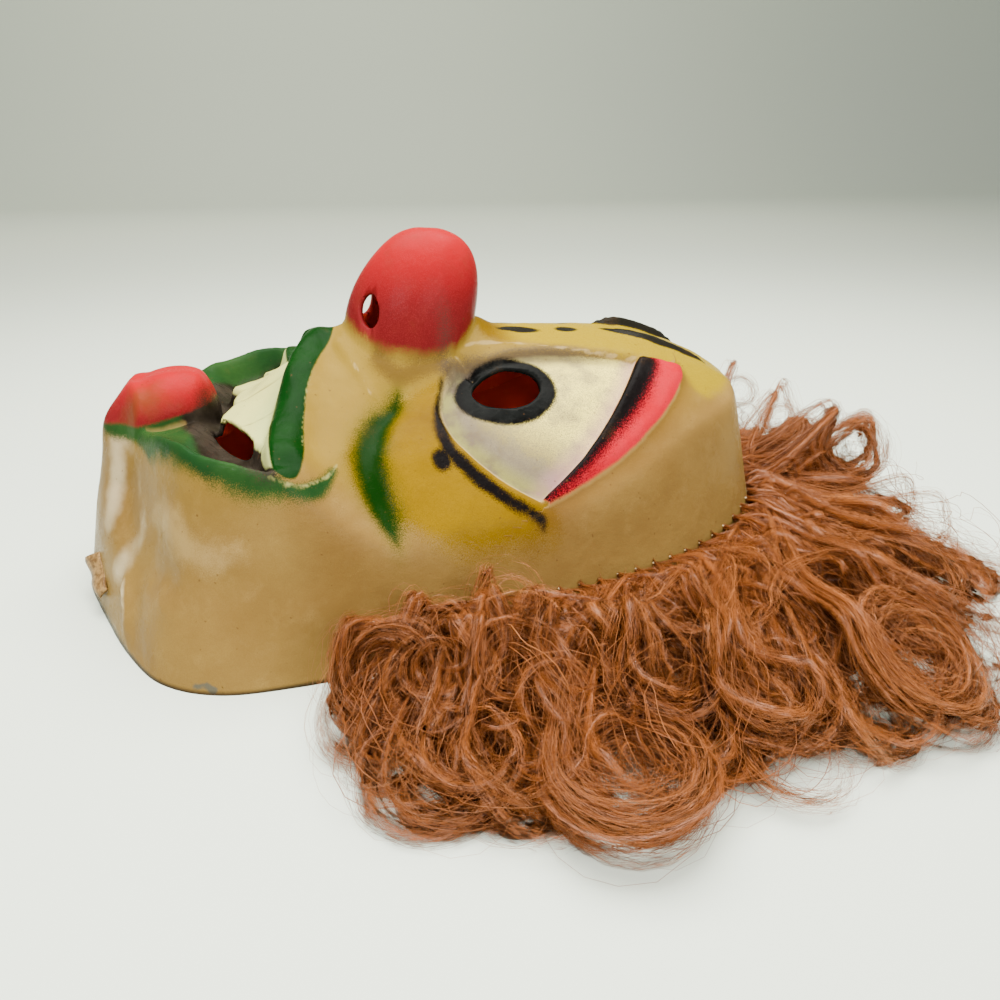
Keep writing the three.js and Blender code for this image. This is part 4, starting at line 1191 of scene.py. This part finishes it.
burr_points, burr_quads, burr_triangles = burrs(burr_middles, hole_outward)
pale = Nodes("pale_burr")
pale.shader.inputs["Base Color"].default_value = (0.72, 0.54, 0.28, 1)
pale.join(pale.ramp(pale.noise(0.6), 0.3, 0.7, 0.25, 0.5), pale.shader.inputs["Roughness"])
burr_mesh = new_mesh("hole_burrs", burr_points, burr_quads, burr_triangles)
add_object("hole_burrs", burr_mesh, pale.material, "shell_plastic")
print("burrs:", 2 * len(burr_quads) + len(burr_triangles), "triangles")

# %% [markdown]
# The hair. The real hair is a fringe of curls, some three centimetres across, that lie over each
# other on the floor. Blender's hair system could grow it, but the exported model needs plain
# meshes, and each curl has its place in the photograph. So every curl has a guide: a line that
# leaves the hairline, swings outwards and ends in a spiral that leans back towards the mask.

# %% Guides
GUIDE_STEPS = 140
CURL_SHRINK = 0.2


def root_at(share):
    """The root line's plan point, and its outward direction, at a share of the line."""
    run = share * ROOT_RUN[-1]
    t = on_root_line(run + 2) - on_root_line(run - 2)
    t = t / np.linalg.norm(t)
    return on_root_line(run), np.array([t[1], -t[0]])


def evened(path, curl_at):
    """Points equally spaced in length plus bend, so that they crowd in bends, and the curl's share."""
    step = np.diff(path, axis=0)
    length = np.linalg.norm(step, axis=1)
    way = step / length[:, None]
    bend = np.arccos(np.clip((way[1:] * way[:-1]).sum(1), -1, 1))
    weight = length / 14.0 + np.concatenate([[0], bend]) / 0.24
    run = np.concatenate([[0], np.cumsum(weight)])
    even = np.linspace(0, run[-1], GUIDE_STEPS)
    path = np.stack([np.interp(even, run, path[:, k]) for k in range(3)], axis=1)
    for _ in range(2):
        path[1:-1] = (path[:-2] + path[1:-1] * 2 + path[2:]) / 4
    return path, run[curl_at] / run[-1]


def root_knots(share, target):
    """First knots of a guide: at the hairline, a little out and up, and halfway to a target."""
    p, outward = root_at(share)
    begin = np.array([*(p - outward * 4.0), 16.0])
    reach = np.linalg.norm(target - begin)
    middle = begin + (target - begin) * 0.55
    middle[2] = max(middle[2], 17.0)
    return [begin, begin + np.array([*(outward * min(10, reach * 0.25)), 3.0]), middle], reach


def guide_line(share, centre, radius, sense, turns, lean, facing):
    """A smooth line into a shrinking circle. sense +1 turns anticlockwise as seen from outside."""
    p, outward = root_at(share)
    centre = np.array(centre, float)
    away = centre[:2] - p
    away = outward if np.linalg.norm(away) < 8 else away
    face = away / np.linalg.norm(away) * 0.4 + outward * 0.6 if facing is None else np.array(facing)
    face = face / np.linalg.norm(face)
    right = np.array([-face[1], face[0], 0.0])
    tilt = math.radians(lean)
    up = np.array([-face[0] * math.cos(tilt), -face[1] * math.cos(tilt), math.sin(tilt)])
    swing = np.linspace(0, 1, 80)
    angle = math.radians(150 if sense > 0 else 30) + sense * 2 * math.pi * turns * swing
    size = radius * (1 - CURL_SHRINK * swing)
    curl = centre + (size * np.cos(angle))[:, None] * right + (size * np.sin(angle))[:, None] * up
    first = curl[1] - curl[0]
    first /= np.linalg.norm(first)
    knots, reach = root_knots(share, curl[0])
    knots += [curl[0] - first * min(12, reach * 0.25), curl[0]]
    path = np.vstack([smooth_line(knots, 14)[:-1], curl])
    return evened(path, len(path) - len(curl))


print("the hairline is", round(ROOT_RUN[-1]), "mm long")

# %% [markdown]
# The curls that can be told apart, from the near temple round to the far one. Those of the near side
# were placed over the photograph, and those of the far side are in keeping with them. Five
# thin locks lie on top of the mass, and each is given as places along it.

# %% Curls
TO_CAMERA = (-0.25, -0.97)
# share places the root on the hairline, depth is how far the curl is filled, and width is the bundle's
Curl = namedtuple("Curl", "share centre radius sense turns lean facing depth width hairs sheets")
CURLS = [
    (0.012, (-61, -114, 18), 16.5, 1, 1.5, 48, None, 0.55, 4.5, 60, 18),
    (0.035, (-70, -126, 10), 12, 1, 0.9, 40, None, 0.6, 6, 24, 9),
    (0.050, (-45, -118, 18), 12, -1, 1.3, 45, None, 0.5, 5, 30, 12),
    (0.060, (-62, -139, 9), 13, 1, 0.9, 25, None, 0.6, 8, 30, 10),
    (0.085, (-25, -122, 20), 13, 1, 1.7, 50, None, 0.65, 4, 50, 17),
    (0.100, (-21, -103, 29), 10.6, 1, 1.25, 60, TO_CAMERA, 0.12, 1.8, 34, 10),
    (0.060, (-44, -104, 22), 11.5, 1, 1.1, 45, TO_CAMERA, 0.45, 4.0, 40, 16),
    (0.110, (-31, -152, 6), 16, 1, 1.1, 15, None, 0.8, 9.0, 30, 16),
    (0.070, (-55, -146, 6), 15, -1, 1.0, 15, None, 0.8, 9.0, 26, 14),
    (0.075, (-38, -112, 24), 14.0, -1, 1.2, 50, TO_CAMERA, 0.55, 5.0, 40, 14),
    (0.085, (-44, -147, 8), 15, 1, 0.8, 20, None, 0.5, 8, 34, 12),
    (0.120, (-26, -150, 10), 14, -1, 0.9, 25, None, 0.5, 8, 34, 13),
    (0.150, (-4, -128, 20), 16, 1, 0.9, 40, None, 0.5, 7, 34, 14),
    (0.185, (-3.5, -164, 11), 20.0, 1, 1.5, 0, None, 0.75, 5.5, 150, 14),
    (0.175, (-3.5, -164, 13), 21.0, 1, 1.25, 0, None, 0.14, 3.4, 60, 26),
    (0.075, (-42, -142, 9), 13, 1, 0.9, 20, None, 0.6, 7, 30, 10),
    (0.365, (80, -138, 12), 14, -1, 0.9, 25, None, 0.6, 7, 30, 11),
    (0.215, (20, -138, 22), 15, 1, 0.9, 40, None, 0.5, 7, 40, 17),
    (0.230, (18, -150, 12), 19, -1, 0.9, 30, None, 0.5, 8, 36, 14),
    (0.265, (31, -126, 24), 12, -1, 1.1, 45, None, 0.5, 5, 34, 12),
    (0.280, (40, -150, 12), 16, -1, 0.8, 30, None, 0.5, 8, 36, 15),
    (0.310, (44, -150, 21), 14, 1, 0.8, 40, None, 0.45, 6, 44, 19),
    (0.345, (66, -128, 18), 13, -1, 1.1, 40, None, 0.6, 6.0, 36, 16),
    (0.330, (47, -166, 6), 15, 1, 0.66, 6, None, 0.12, 2.6, 50, 14),
    (0.340, (62, -148, 12), 16, 1, 0.8, 30, None, 0.5, 8, 36, 15),
    (0.360, (76, -156, 9), 15, 1, 1.0, 25, None, 0.5, 7, 34, 13),
    (0.385, (96, -147, 19), 19, 1, 1.5, 35, None, 0.75, 6.0, 110, 14),
    (0.385, (96, -147, 21), 20, 1, 1.2, 35, None, 0.14, 3.4, 50, 22),
    (0.400, (104, -156, 9), 15, -1, 0.9, 25, None, 0.5, 7, 34, 13),
    (0.420, (126, -140, 11), 17, -1, 1.0, 30, None, 0.5, 8, 36, 14),
    (0.440, (142, -112, 14), 16, -1, 0.9, 35, None, 0.5, 8, 36, 15),
    (0.450, (116, -112, 22), 14, 1, 0.8, 40, None, 0.5, 7, 36, 15),
    (0.455, (150, -86, 15), 15, -1, 0.9, 35, None, 0.5, 8, 36, 15),
    (0.462, (164, -59, 20), 6.5, -1, 0.9, 70, TO_CAMERA, 0.1, 1.6, 30, 3),
    (0.466, (178, -66, 13), 7, -1, 0.9, 50, TO_CAMERA, 0.2, 1.8, 20, 2),
    (0.470, (176, -88, 9), 15, 1, 1.0, 25, None, 0.5, 8, 34, 13),
    (0.480, (170, -40, 10), 14, -1, 0.9, 30, None, 0.5, 8, 34, 13),
    (0.492, (171, -15, 30), 16, 1, 1.2, 60, TO_CAMERA, 0.5, 5, 46, 14),
    (0.500, (186, 0, 22), 11, -1, 1.2, 60, TO_CAMERA, 0.5, 5, 36, 11),
    (0.508, (151, 12, 36), 10.5, 1, 1.4, 60, TO_CAMERA, 0.35, 2.4, 36, 5),
    (0.516, (163, 36, 32), 10, -1, 1.2, 60, TO_CAMERA, 0.4, 3, 30, 5),
    (0.528, (159, 67, 36), 9.5, 1, 1.5, 60, TO_CAMERA, 0.35, 2.4, 34, 4),
    (0.520, (190, 44, 12), 15, 1, 1.0, 40, None, 0.5, 7, 26, 10),
    (0.545, (176, 78, 12), 16, -1, 1.1, 40, None, 0.5, 8, 28, 11),
    (0.560, (150, 104, 13), 16, 1, 1.0, 40, None, 0.5, 8, 28, 11),
    (0.580, (140, 138, 11), 17, 1, 1.1, 40, None, 0.5, 8, 28, 11),
    (0.605, (104, 140, 17), 19, 1, 1.3, 40, None, 0.5, 7, 36, 14),
    (0.630, (92, 158, 10), 15, -1, 0.9, 30, None, 0.5, 8, 26, 10),
    (0.655, (64, 148, 13), 16, -1, 1.1, 35, None, 0.5, 8, 28, 11),
    (0.680, (44, 162, 10), 14, 1, 1.0, 30, None, 0.5, 7, 26, 10),
    (0.705, (34, 140, 18), 16, 1, 0.9, 40, None, 0.5, 7, 28, 11),
    (0.735, (10, 154, 15), 19, -1, 1.2, 40, None, 0.5, 7, 34, 14),
    (0.760, (8, 128, 20), 14, -1, 1.3, 45, None, 0.5, 6, 28, 11),
    (0.795, (-14, 146, 12), 16, 1, 1.0, 30, None, 0.5, 8, 28, 11),
    (0.830, (-26, 118, 20), 13, 1, 1.4, 45, None, 0.5, 5, 30, 11),
    (0.865, (-42, 144, 9), 16, -1, 0.9, 30, None, 0.5, 8, 26, 10),
    (0.900, (-52, 120, 17), 13, 1, 1.2, 45, None, 0.5, 6, 28, 11),
    (0.940, (-68, 136, 10), 15, -1, 0.9, 30, None, 0.5, 8, 24, 10),
    (0.980, (-74, 116, 18), 15, -1, 1.2, 45, None, 0.5, 6, 28, 12),
]
# thin locks that lie on top of the mass: root's share, places along the lock
TOP_LOCKS = [
    (0.400, [(119, -89, 24), (94, -99, 29), (76, -107, 31), (64, -119, 31), (59, -128, 30), (48, -133, 29),
             (42, -130, 28), (36, -123, 27)]),
    (0.330, [(68, -78, 24), (73, -89, 28), (73, -102, 30), (70, -111, 29), (63, -112, 28), (49, -106, 26),
             (32, -98, 23)]),
    (0.300, [(66, -90, 25), (58, -106, 28), (48, -122, 29), (34, -132, 28), (25, -126, 27), (26, -110, 25)]),
    (0.260, [(38, -100, 27), (24, -112, 29), (4, -112, 28), (-8, -121, 26), (-20, -134, 20)]),
    (0.430, [(132, -70, 26), (146, -92, 24), (138, -118, 22), (118, -130, 24), (104, -128, 30)]),
]
print("curls:", len(CURLS), "thin locks:", len(TOP_LOCKS))

# %% [markdown]
# Between the large curls the mass is filled with small ones that chance strews, in three groups:
# high ones, low ones, and single hairs that stray past the edge. A fixed seed makes chance give
# the same hair on every run. Then every curl, thin lock and small curl becomes a guide.

# %% All guides
def top_lock(share, places):
    """A guide through given places, which starts at the hairline."""
    places = np.array(places, float)
    knots, _ = root_knots(share, places[0])
    path = smooth_line(knots[:2] + list(places), 14)
    return evened(path, len(path) - 1)


def loose_curls(count, seed, deep, height, radius, hairs, sheets):
    """Small curls strewn through the mass, to fill it between the large ones."""
    rng = np.random.default_rng(seed)
    curls = []
    for share in (np.arange(count) + rng.uniform(0.1, 0.9, count)) / count:
        p, outward = root_at(share)
        far = np.interp(share, [0, 0.12, 0.22, 0.5, 0.6, 1], [34, 58, 74, 74, 62, 34])
        along_rim = np.array([-outward[1], outward[0]]) * rng.normal(0, 9)
        place = p + outward * far * rng.uniform(*deep) + along_rim
        centre = (*place, rng.uniform(*height))
        size, sense = rng.uniform(*radius), rng.choice([-1, 1])
        turns, lean, width = rng.uniform(0.5, 1.3), rng.uniform(10, 60), rng.uniform(4, 9)
        curls.append((share, centre, size, sense, turns, lean, None, 0.5, width, hairs, sheets))
    return curls


LOOSE = (loose_curls(96, 21, (0.25, 0.92), (6, 21), (8, 15), 6, 6)
         + loose_curls(52, 22, (0.30, 0.95), (4, 10), (8, 16), 4, 8)
         + loose_curls(98, 23, (0.72, 1.20), (2, 14), (10, 24), 5, 0))
guides = [(Curl(*row), *guide_line(*row[:7])) for row in CURLS + LOOSE]
guides += [(Curl(share, None, 0, 1, 0, 0, None, 0.0, 1.6, 26, 3), *top_lock(share, places))
           for share, places in TOP_LOCKS]
print("guides:", len(guides), "hairs:", sum(g[0].hairs for g in guides),
      "sheets:", sum(g[0].sheets for g in guides))

# %% [markdown]
# One bundle round a guide. Real curls aren't hollow: each hair turns with its own radius. So the
# hairs of a curl are drawn in towards its middle, more or less, and tilted a little, and slow waves
# make every hair wander, so that no two run together for long. At its start each hair is pulled to
# one of the ten nearest holes.

# %% Bundles
def steady_frames(path):
    """Two directions across a line. Each is the last one, less its part along the line."""
    tangent = np.gradient(path, axis=0)
    tangent /= np.linalg.norm(tangent, axis=1, keepdims=True)
    first = np.zeros_like(path)
    a = np.cross(tangent[0], [0, 0, 1.0])
    for k in range(len(path)):
        a = a - tangent[k] * a.dot(tangent[k])
        a /= np.linalg.norm(a)
        first[k] = a
    return first, np.cross(tangent, first)


FRIZZ_WAVES = ((2.6, 1.2), (1.5, 2.6), (0.5, 4.4))  # reach in mm, waves along a hair
WIDTH_KEPT, LENGTH_KEPT, SOFT_EDGE = 180.0, 218.0, 14.0


def bundle(curl, path, curl_at, count, points, frizz, rng):
    """Centre lines (hair, point, 3): a hair keeps its place across the guide, plus waves."""
    first, second = steady_frames(path)
    t = np.linspace(0, 1, points)[None, :]
    stop = rng.uniform(0.72, 1.0, (count, 1))
    place = stop * t * (GUIDE_STEPS - 1)
    s = place / (GUIDE_STEPS - 1)

    def pick(field):
        return np.stack([np.interp(place, np.arange(GUIDE_STEPS), field[:, k]) for k in range(3)], axis=-1)

    spread = curl.width * (0.25 + 0.75 * rise(0.0, 0.35, s)) * (1 - 0.25 * rise(0.7, 1.0, s))
    rho = np.sqrt(rng.uniform(0.02, 1, (count, 1)))
    theta = rng.uniform(0, 2 * math.pi, (count, 1)) + rng.uniform(-2.2, 2.2, (count, 1)) * s
    a = rho * np.cos(theta) * spread * 0.8
    b = rho * np.sin(theta) * spread
    wild = np.where(rng.uniform(0, 1, (count, 1)) < 0.28, 2.1, 0.8) * frizz * (0.35 + 0.08 * curl.width)
    for amplitude, cycles in FRIZZ_WAVES:
        grow = amplitude * wild * rise(0.05, 0.5, s)
        for target in (a, b):
            phase = rng.uniform(0, 2 * math.pi, (count, 1))
            pitch = cycles * rng.uniform(0.6, 1.4, (count, 1))
            wave = grow * np.sin(2 * math.pi * pitch * s + phase)
            target += wave * rng.uniform(0.3, 1.0, (count, 1))
    lines = pick(path)
    if curl.centre is not None:
        lines = filled_curl(lines, curl, curl_at, s, rng)
    lines = lines + a[..., None] * pick(first) + b[..., None] * pick(second)
    near = np.argsort(np.abs(hole_share - curl.share))[:10]
    own = hole_points[near[rng.integers(0, len(near), count)]]
    own = own + rng.normal(0, 0.3, own.shape)
    hold = 1 - rise(0.0, 0.28, t)
    lines = lines + (own - lines[:, 0])[:, None] * hold[..., None]
    lines[..., 2] += rng.uniform(0.0, 2.2, (count, 1)) * np.sin(math.pi * np.clip(t / 0.3, 0, 1))
    return lines


def filled_curl(lines, curl, curl_at, s, rng):
    """Draws hairs of a curl in towards its middle and tilts each a little way about it."""
    count, depth, centre = len(lines), curl.depth, np.array(curl.centre, float)
    inwards = depth * rng.uniform(0, 1, (count, 1)) ** 1.5 * rise(curl_at - 0.12, curl_at + 0.15, s)
    stray = (0.06 + 0.22 * depth) * curl.radius
    middle = centre + rng.normal(0, stray, (count, 1, 3)) * [1, 1, 0.4]
    lines = lines + (middle - lines) * inwards[..., None]
    tilt = rng.normal(0, 0.06 + 0.52 * depth, (count, 1, 3))
    tilt = tilt * rise(curl_at - 0.12, curl_at + 0.2, s)[..., None]
    return lines + np.cross(tilt, lines - centre)


def above_floor(z, start, least):
    """Heights under start fall off exponentially and end at least."""
    return np.where(z < start, least + (start - least) * np.exp((z - start) / (start - least)), z)


def eased(value, limit):
    """Values past the limit follow a tanh, which ends SOFT_EDGE further on."""
    over = value - limit
    return np.where(over > 0, limit + SOFT_EDGE * np.tanh(over / SOFT_EDGE), value)


def keep_clear(lines):
    """Keeps hairs above the floor, outside the shell and within the mask's own length and width."""
    x, y, z = lines[..., 0], lines[..., 1], lines[..., 2]
    inside = inside_rim(x, np.abs(y))
    z = np.where(inside > -0.5, np.maximum(z, wall_height(inside, x) + 0.5), z)
    y = np.sign(y) * eased(np.abs(y), WIDTH_KEPT)
    return np.stack([eased(x, LENGTH_KEPT), y, above_floor(z, 4.0, 0.35)], axis=-1)


def drawn_out(paths, across, up, twist):
    """Closed three-cornered tubes along many lines. across and up place the corners."""
    count, length, _ = paths.shape
    tangent = np.gradient(paths, axis=1)
    tangent /= np.linalg.norm(tangent, axis=2, keepdims=True) + 1e-12
    first = np.zeros_like(paths)
    a = np.cross(tangent[:, 0], [0.31, 0.2, 0.93])
    for k in range(length):
        a = a - tangent[:, k] * np.einsum("ij,ij->i", a, tangent[:, k])[:, None]
        a /= np.linalg.norm(a, axis=1, keepdims=True) + 1e-12
        first[:, k] = a
    second = np.cross(tangent, first)
    c, s = np.cos(twist)[..., None], np.sin(twist)[..., None]
    first, second = c * first + s * second, c * second - s * first
    points = paths[:, :, None] + across[..., None] * first[:, :, None] + up[..., None] * second[:, :, None]
    points[..., 2] = above_floor(points[..., 2], 3.0, 0.2)
    number = np.arange(count * length * 3).reshape(count, length, 3)
    here, ahead = number[:, :-1], number[:, 1:]
    quads = np.stack([here, np.roll(here, -1, 2), np.roll(ahead, -1, 2), ahead], axis=-1).reshape(-1, 4)
    caps = np.concatenate([number[:, 0, ::-1], number[:, -1]])
    return points.reshape(-1, 3), quads, caps


print("frizz reaches", sum(reach for reach, _ in FRIZZ_WAVES), "mm before its strength")

# %% [markdown]
# Hair is far too fine to model one by one, so thin sheets carry most of it. The material cuts a
# sheet into fibres that run along it, with gaps between, and single hairs lie among the sheets.

# %% Hair material
FIBRES_PER_MM, STREAKS_PER_MM = 10.0, 2.6


def fibres(n, slant, seed, per_mm):
    """Streaks along a sheet that drift slowly to one side, about per_mm of them in a mm."""
    place = n.tree.nodes.new("ShaderNodeCombineXYZ")
    wave = n.math("SINE", n.add(n.math("MULTIPLY", "run", 0.14), "tuft", 40.0 + seed))
    aside = n.add(n.math("MULTIPLY", wave, 0.6), "run", slant)
    n.join(n.add("across", aside), place.inputs[0])
    n.join(n.math("MULTIPLY", "run", 0.02), place.inputs[1])
    n.join(n.add(n.math("MULTIPLY", "tuft", 97.0), seed), place.inputs[2])
    noise = n.tree.nodes.new("ShaderNodeTexNoise")
    noise.inputs["Scale"].default_value = per_mm
    noise.inputs["Detail"].default_value = 2.0
    noise.inputs["Roughness"].default_value = 0.7
    n.join(place.outputs[0], noise.inputs["Vector"])
    return noise.outputs["Fac"]


def hair_material():
    """Three auburn tones along the fibres, and nothing between them where the sheet is open."""
    n = Nodes("auburn_hair")
    crossing = n.math("SUBTRACT", fibres(n, -0.09, 5.0, FIBRES_PER_MM), 0.03)
    fibre = n.math("MAXIMUM", fibres(n, 0.03, 0.0, FIBRES_PER_MM), crossing)
    streak = n.math("SUBTRACT", fibres(n, 0.0, 9.0, STREAKS_PER_MM), 0.5)
    tone = n.add("hair_tone", n.math("SUBTRACT", fibre, 0.58), 0.7)
    tone = n.add(tone, streak, 0.55)
    colour = n.mix(n.ramp(tone, 0.0, 0.5), (0.180, 0.047, 0.008), (0.250, 0.071, 0.014))
    colour = n.mix(n.ramp(tone, 0.5, 1.0), colour, (0.395, 0.130, 0.034))
    n.join(colour, n.shader.inputs["Base Color"])
    solid = n.add(n.add(fibre, "fill", 0.5), streak, 0.12)
    n.join(n.ramp(solid, 0.545, 0.610), n.shader.inputs["Alpha"])
    n.shader.inputs["Roughness"].default_value = 0.40
    n.shader.inputs["Specular IOR Level"].default_value = 0.30
    return n.material


auburn = hair_material()
print("auburn hair:", len(auburn.node_tree.nodes), "nodes")

# %% [markdown]
# Single hairs are round in fact, but three sides are enough at a tenth of a millimetre. Sheets are
# three-cornered too, only wide and flat, so the same function draws both out along their lines.
# Each point keeps where it lies across and along its sheet, how full the sheet is there, its tone
# and a number of its own, from which the material makes the fibres.

# %% Hairs and sheets
HAIR_POINTS, SHEET_POINTS = 30, 36
HAIR_SHARE, SHEET_SHARE = 0.88, 0.66
HAIR_FRIZZ, SHEET_FRIZZ = 1.9, 1.25
# narrow bundles, among them the thin locks on top, get a lighter tone: a painted highlight
NARROW, NARROW_HIGHLIGHT = 3.6, 0.22
LOOSE_THICKER = 2.1
NUMBERS = ("across", "run", "fill", "hair_tone", "tuft")
TURN = 2 * math.pi * np.arange(3) / 3
rng = np.random.default_rng(11)


def on_corners(field):
    """Gives the three corners at each point the same number."""
    return np.repeat(field[..., None], 3, 2)


def single_hairs(lines, highlight_tone, thick, rng):
    """Tapering three-sided hairs, always solid."""
    count, length = lines.shape[:2]
    t = np.linspace(0, 1, length)[None, :]
    radius = thick * rng.uniform(0.030, 0.066, (count, 1)) * (1 - 0.5 * rise(0.6, 1.0, t))
    made = drawn_out(lines, radius[..., None] * np.cos(TURN), radius[..., None] * np.sin(TURN), 0 * radius)
    tone = np.clip(rng.normal(0.55 + highlight_tone, 0.22, (count, 1)), 0, 1) * (0.55 + 0.45 * rise(0.0, 0.25, t))
    flat = np.zeros((count, length, 3))
    return made, flat, flat, flat + 1.0, on_corners(tone), flat


def hair_sheets(lines, width, highlight_tone, rng):
    """Thin sheets a few millimetres wide, which the material cuts into fibres."""
    count, length = lines.shape[:2]
    t = np.linspace(0, 1, length)[None, :]
    taper = (0.3 + 0.7 * rise(0.0, 0.3, t)) * (1 - 0.4 * rise(0.75, 1.0, t))
    width = rng.uniform(0.6, 1.15, (count, 1)) * np.clip(width * 1.1, 2.2, 8.0) * taper
    twist = rng.uniform(0, 6.28, (count, 1)) + rng.uniform(-2.5, 2.5, (count, 1)) * t
    across = width[..., None] * np.array([0.5, 0.0, -0.5])
    up = 0.08 * width[..., None] * np.array([0.0, 1.0, 0.0])
    made = drawn_out(lines, across, up, twist)
    step = np.linalg.norm(np.diff(lines, axis=1), axis=2)
    run = np.concatenate([np.zeros((count, 1)), np.cumsum(step, axis=1)], axis=1)
    fill = 0.13 - 0.12 * rise(0.1, 0.5, t) - 0.10 * rise(0.75, 1.0, t) + rng.uniform(-0.07, 0.05, (count, 1))
    fill = fill[..., None] + np.array([-0.14, 0.07, -0.14])
    tone = np.clip(rng.normal(0.45 + highlight_tone, 0.14, (count, 1)), 0, 1) * (0.5 + 0.5 * rise(0.0, 0.25, t))
    tuft = np.repeat(rng.uniform(0, 1, (count, 1)), length, 1)
    return made, across, on_corners(run), fill, on_corners(tone), on_corners(tuft)


print("single hairs are", HAIR_POINTS, "points long, sheets", SHEET_POINTS)

# %% [markdown]
# Last come the locks. The frame has fourteen of them, and the hairs and sheets of each guide go to
# the lock in whose part of the hairline its root lies, one mesh per lock. One mesh per lock stays
# small enough to be exported whole.

# %% Locks of hair
LOCK_COUNT = 14
bundles = {k: [] for k in range(LOCK_COUNT)}
for curl, path, curl_at in guides:
    lock = min(int(curl.share * LOCK_COUNT), LOCK_COUNT - 1)
    # a painted highlight: narrow bundles are given a lighter tone
    highlight_tone = NARROW_HIGHLIGHT if curl.width < NARROW else 0.0
    thick = 1.0 if curl.sheets else LOOSE_THICKER
    lines = bundle(curl, path, curl_at, round(HAIR_SHARE * curl.hairs), HAIR_POINTS, HAIR_FRIZZ, rng)
    bundles[lock].append(single_hairs(keep_clear(lines), highlight_tone, thick, rng))
    sheets = round(SHEET_SHARE * curl.sheets)
    if sheets:
        lines = bundle(curl, path, curl_at, sheets, SHEET_POINTS, SHEET_FRIZZ, rng)
        bundles[lock].append(hair_sheets(keep_clear(lines), curl.width, highlight_tone, rng))


def add_lock(name, node, parts):
    """Joins the hairs and sheets of one lock into one mesh, and returns its triangles."""
    offset = np.cumsum([0] + [len(part[0][0]) for part in parts[:-1]])
    points = np.vstack([part[0][0] for part in parts])
    quads = np.vstack([part[0][1] + o for part, o in zip(parts, offset)])
    caps = np.vstack([part[0][2] + o for part, o in zip(parts, offset)])
    mesh = new_mesh(name, points, quads, caps)
    for number, attribute in enumerate(NUMBERS, start=1):
        add_number(mesh, attribute, np.concatenate([part[number].ravel() for part in parts]))
    add_object(name, mesh, auburn, "hair", node)
    return 2 * len(quads) + len(caps)


triangles = [add_lock(f"curls_{k + 1:02d}", f"hair_lock_{k + 1:02d}", parts) for k, parts in bundles.items()]
print("hair triangles:", sum(triangles), "most in one lock:", max(triangles))
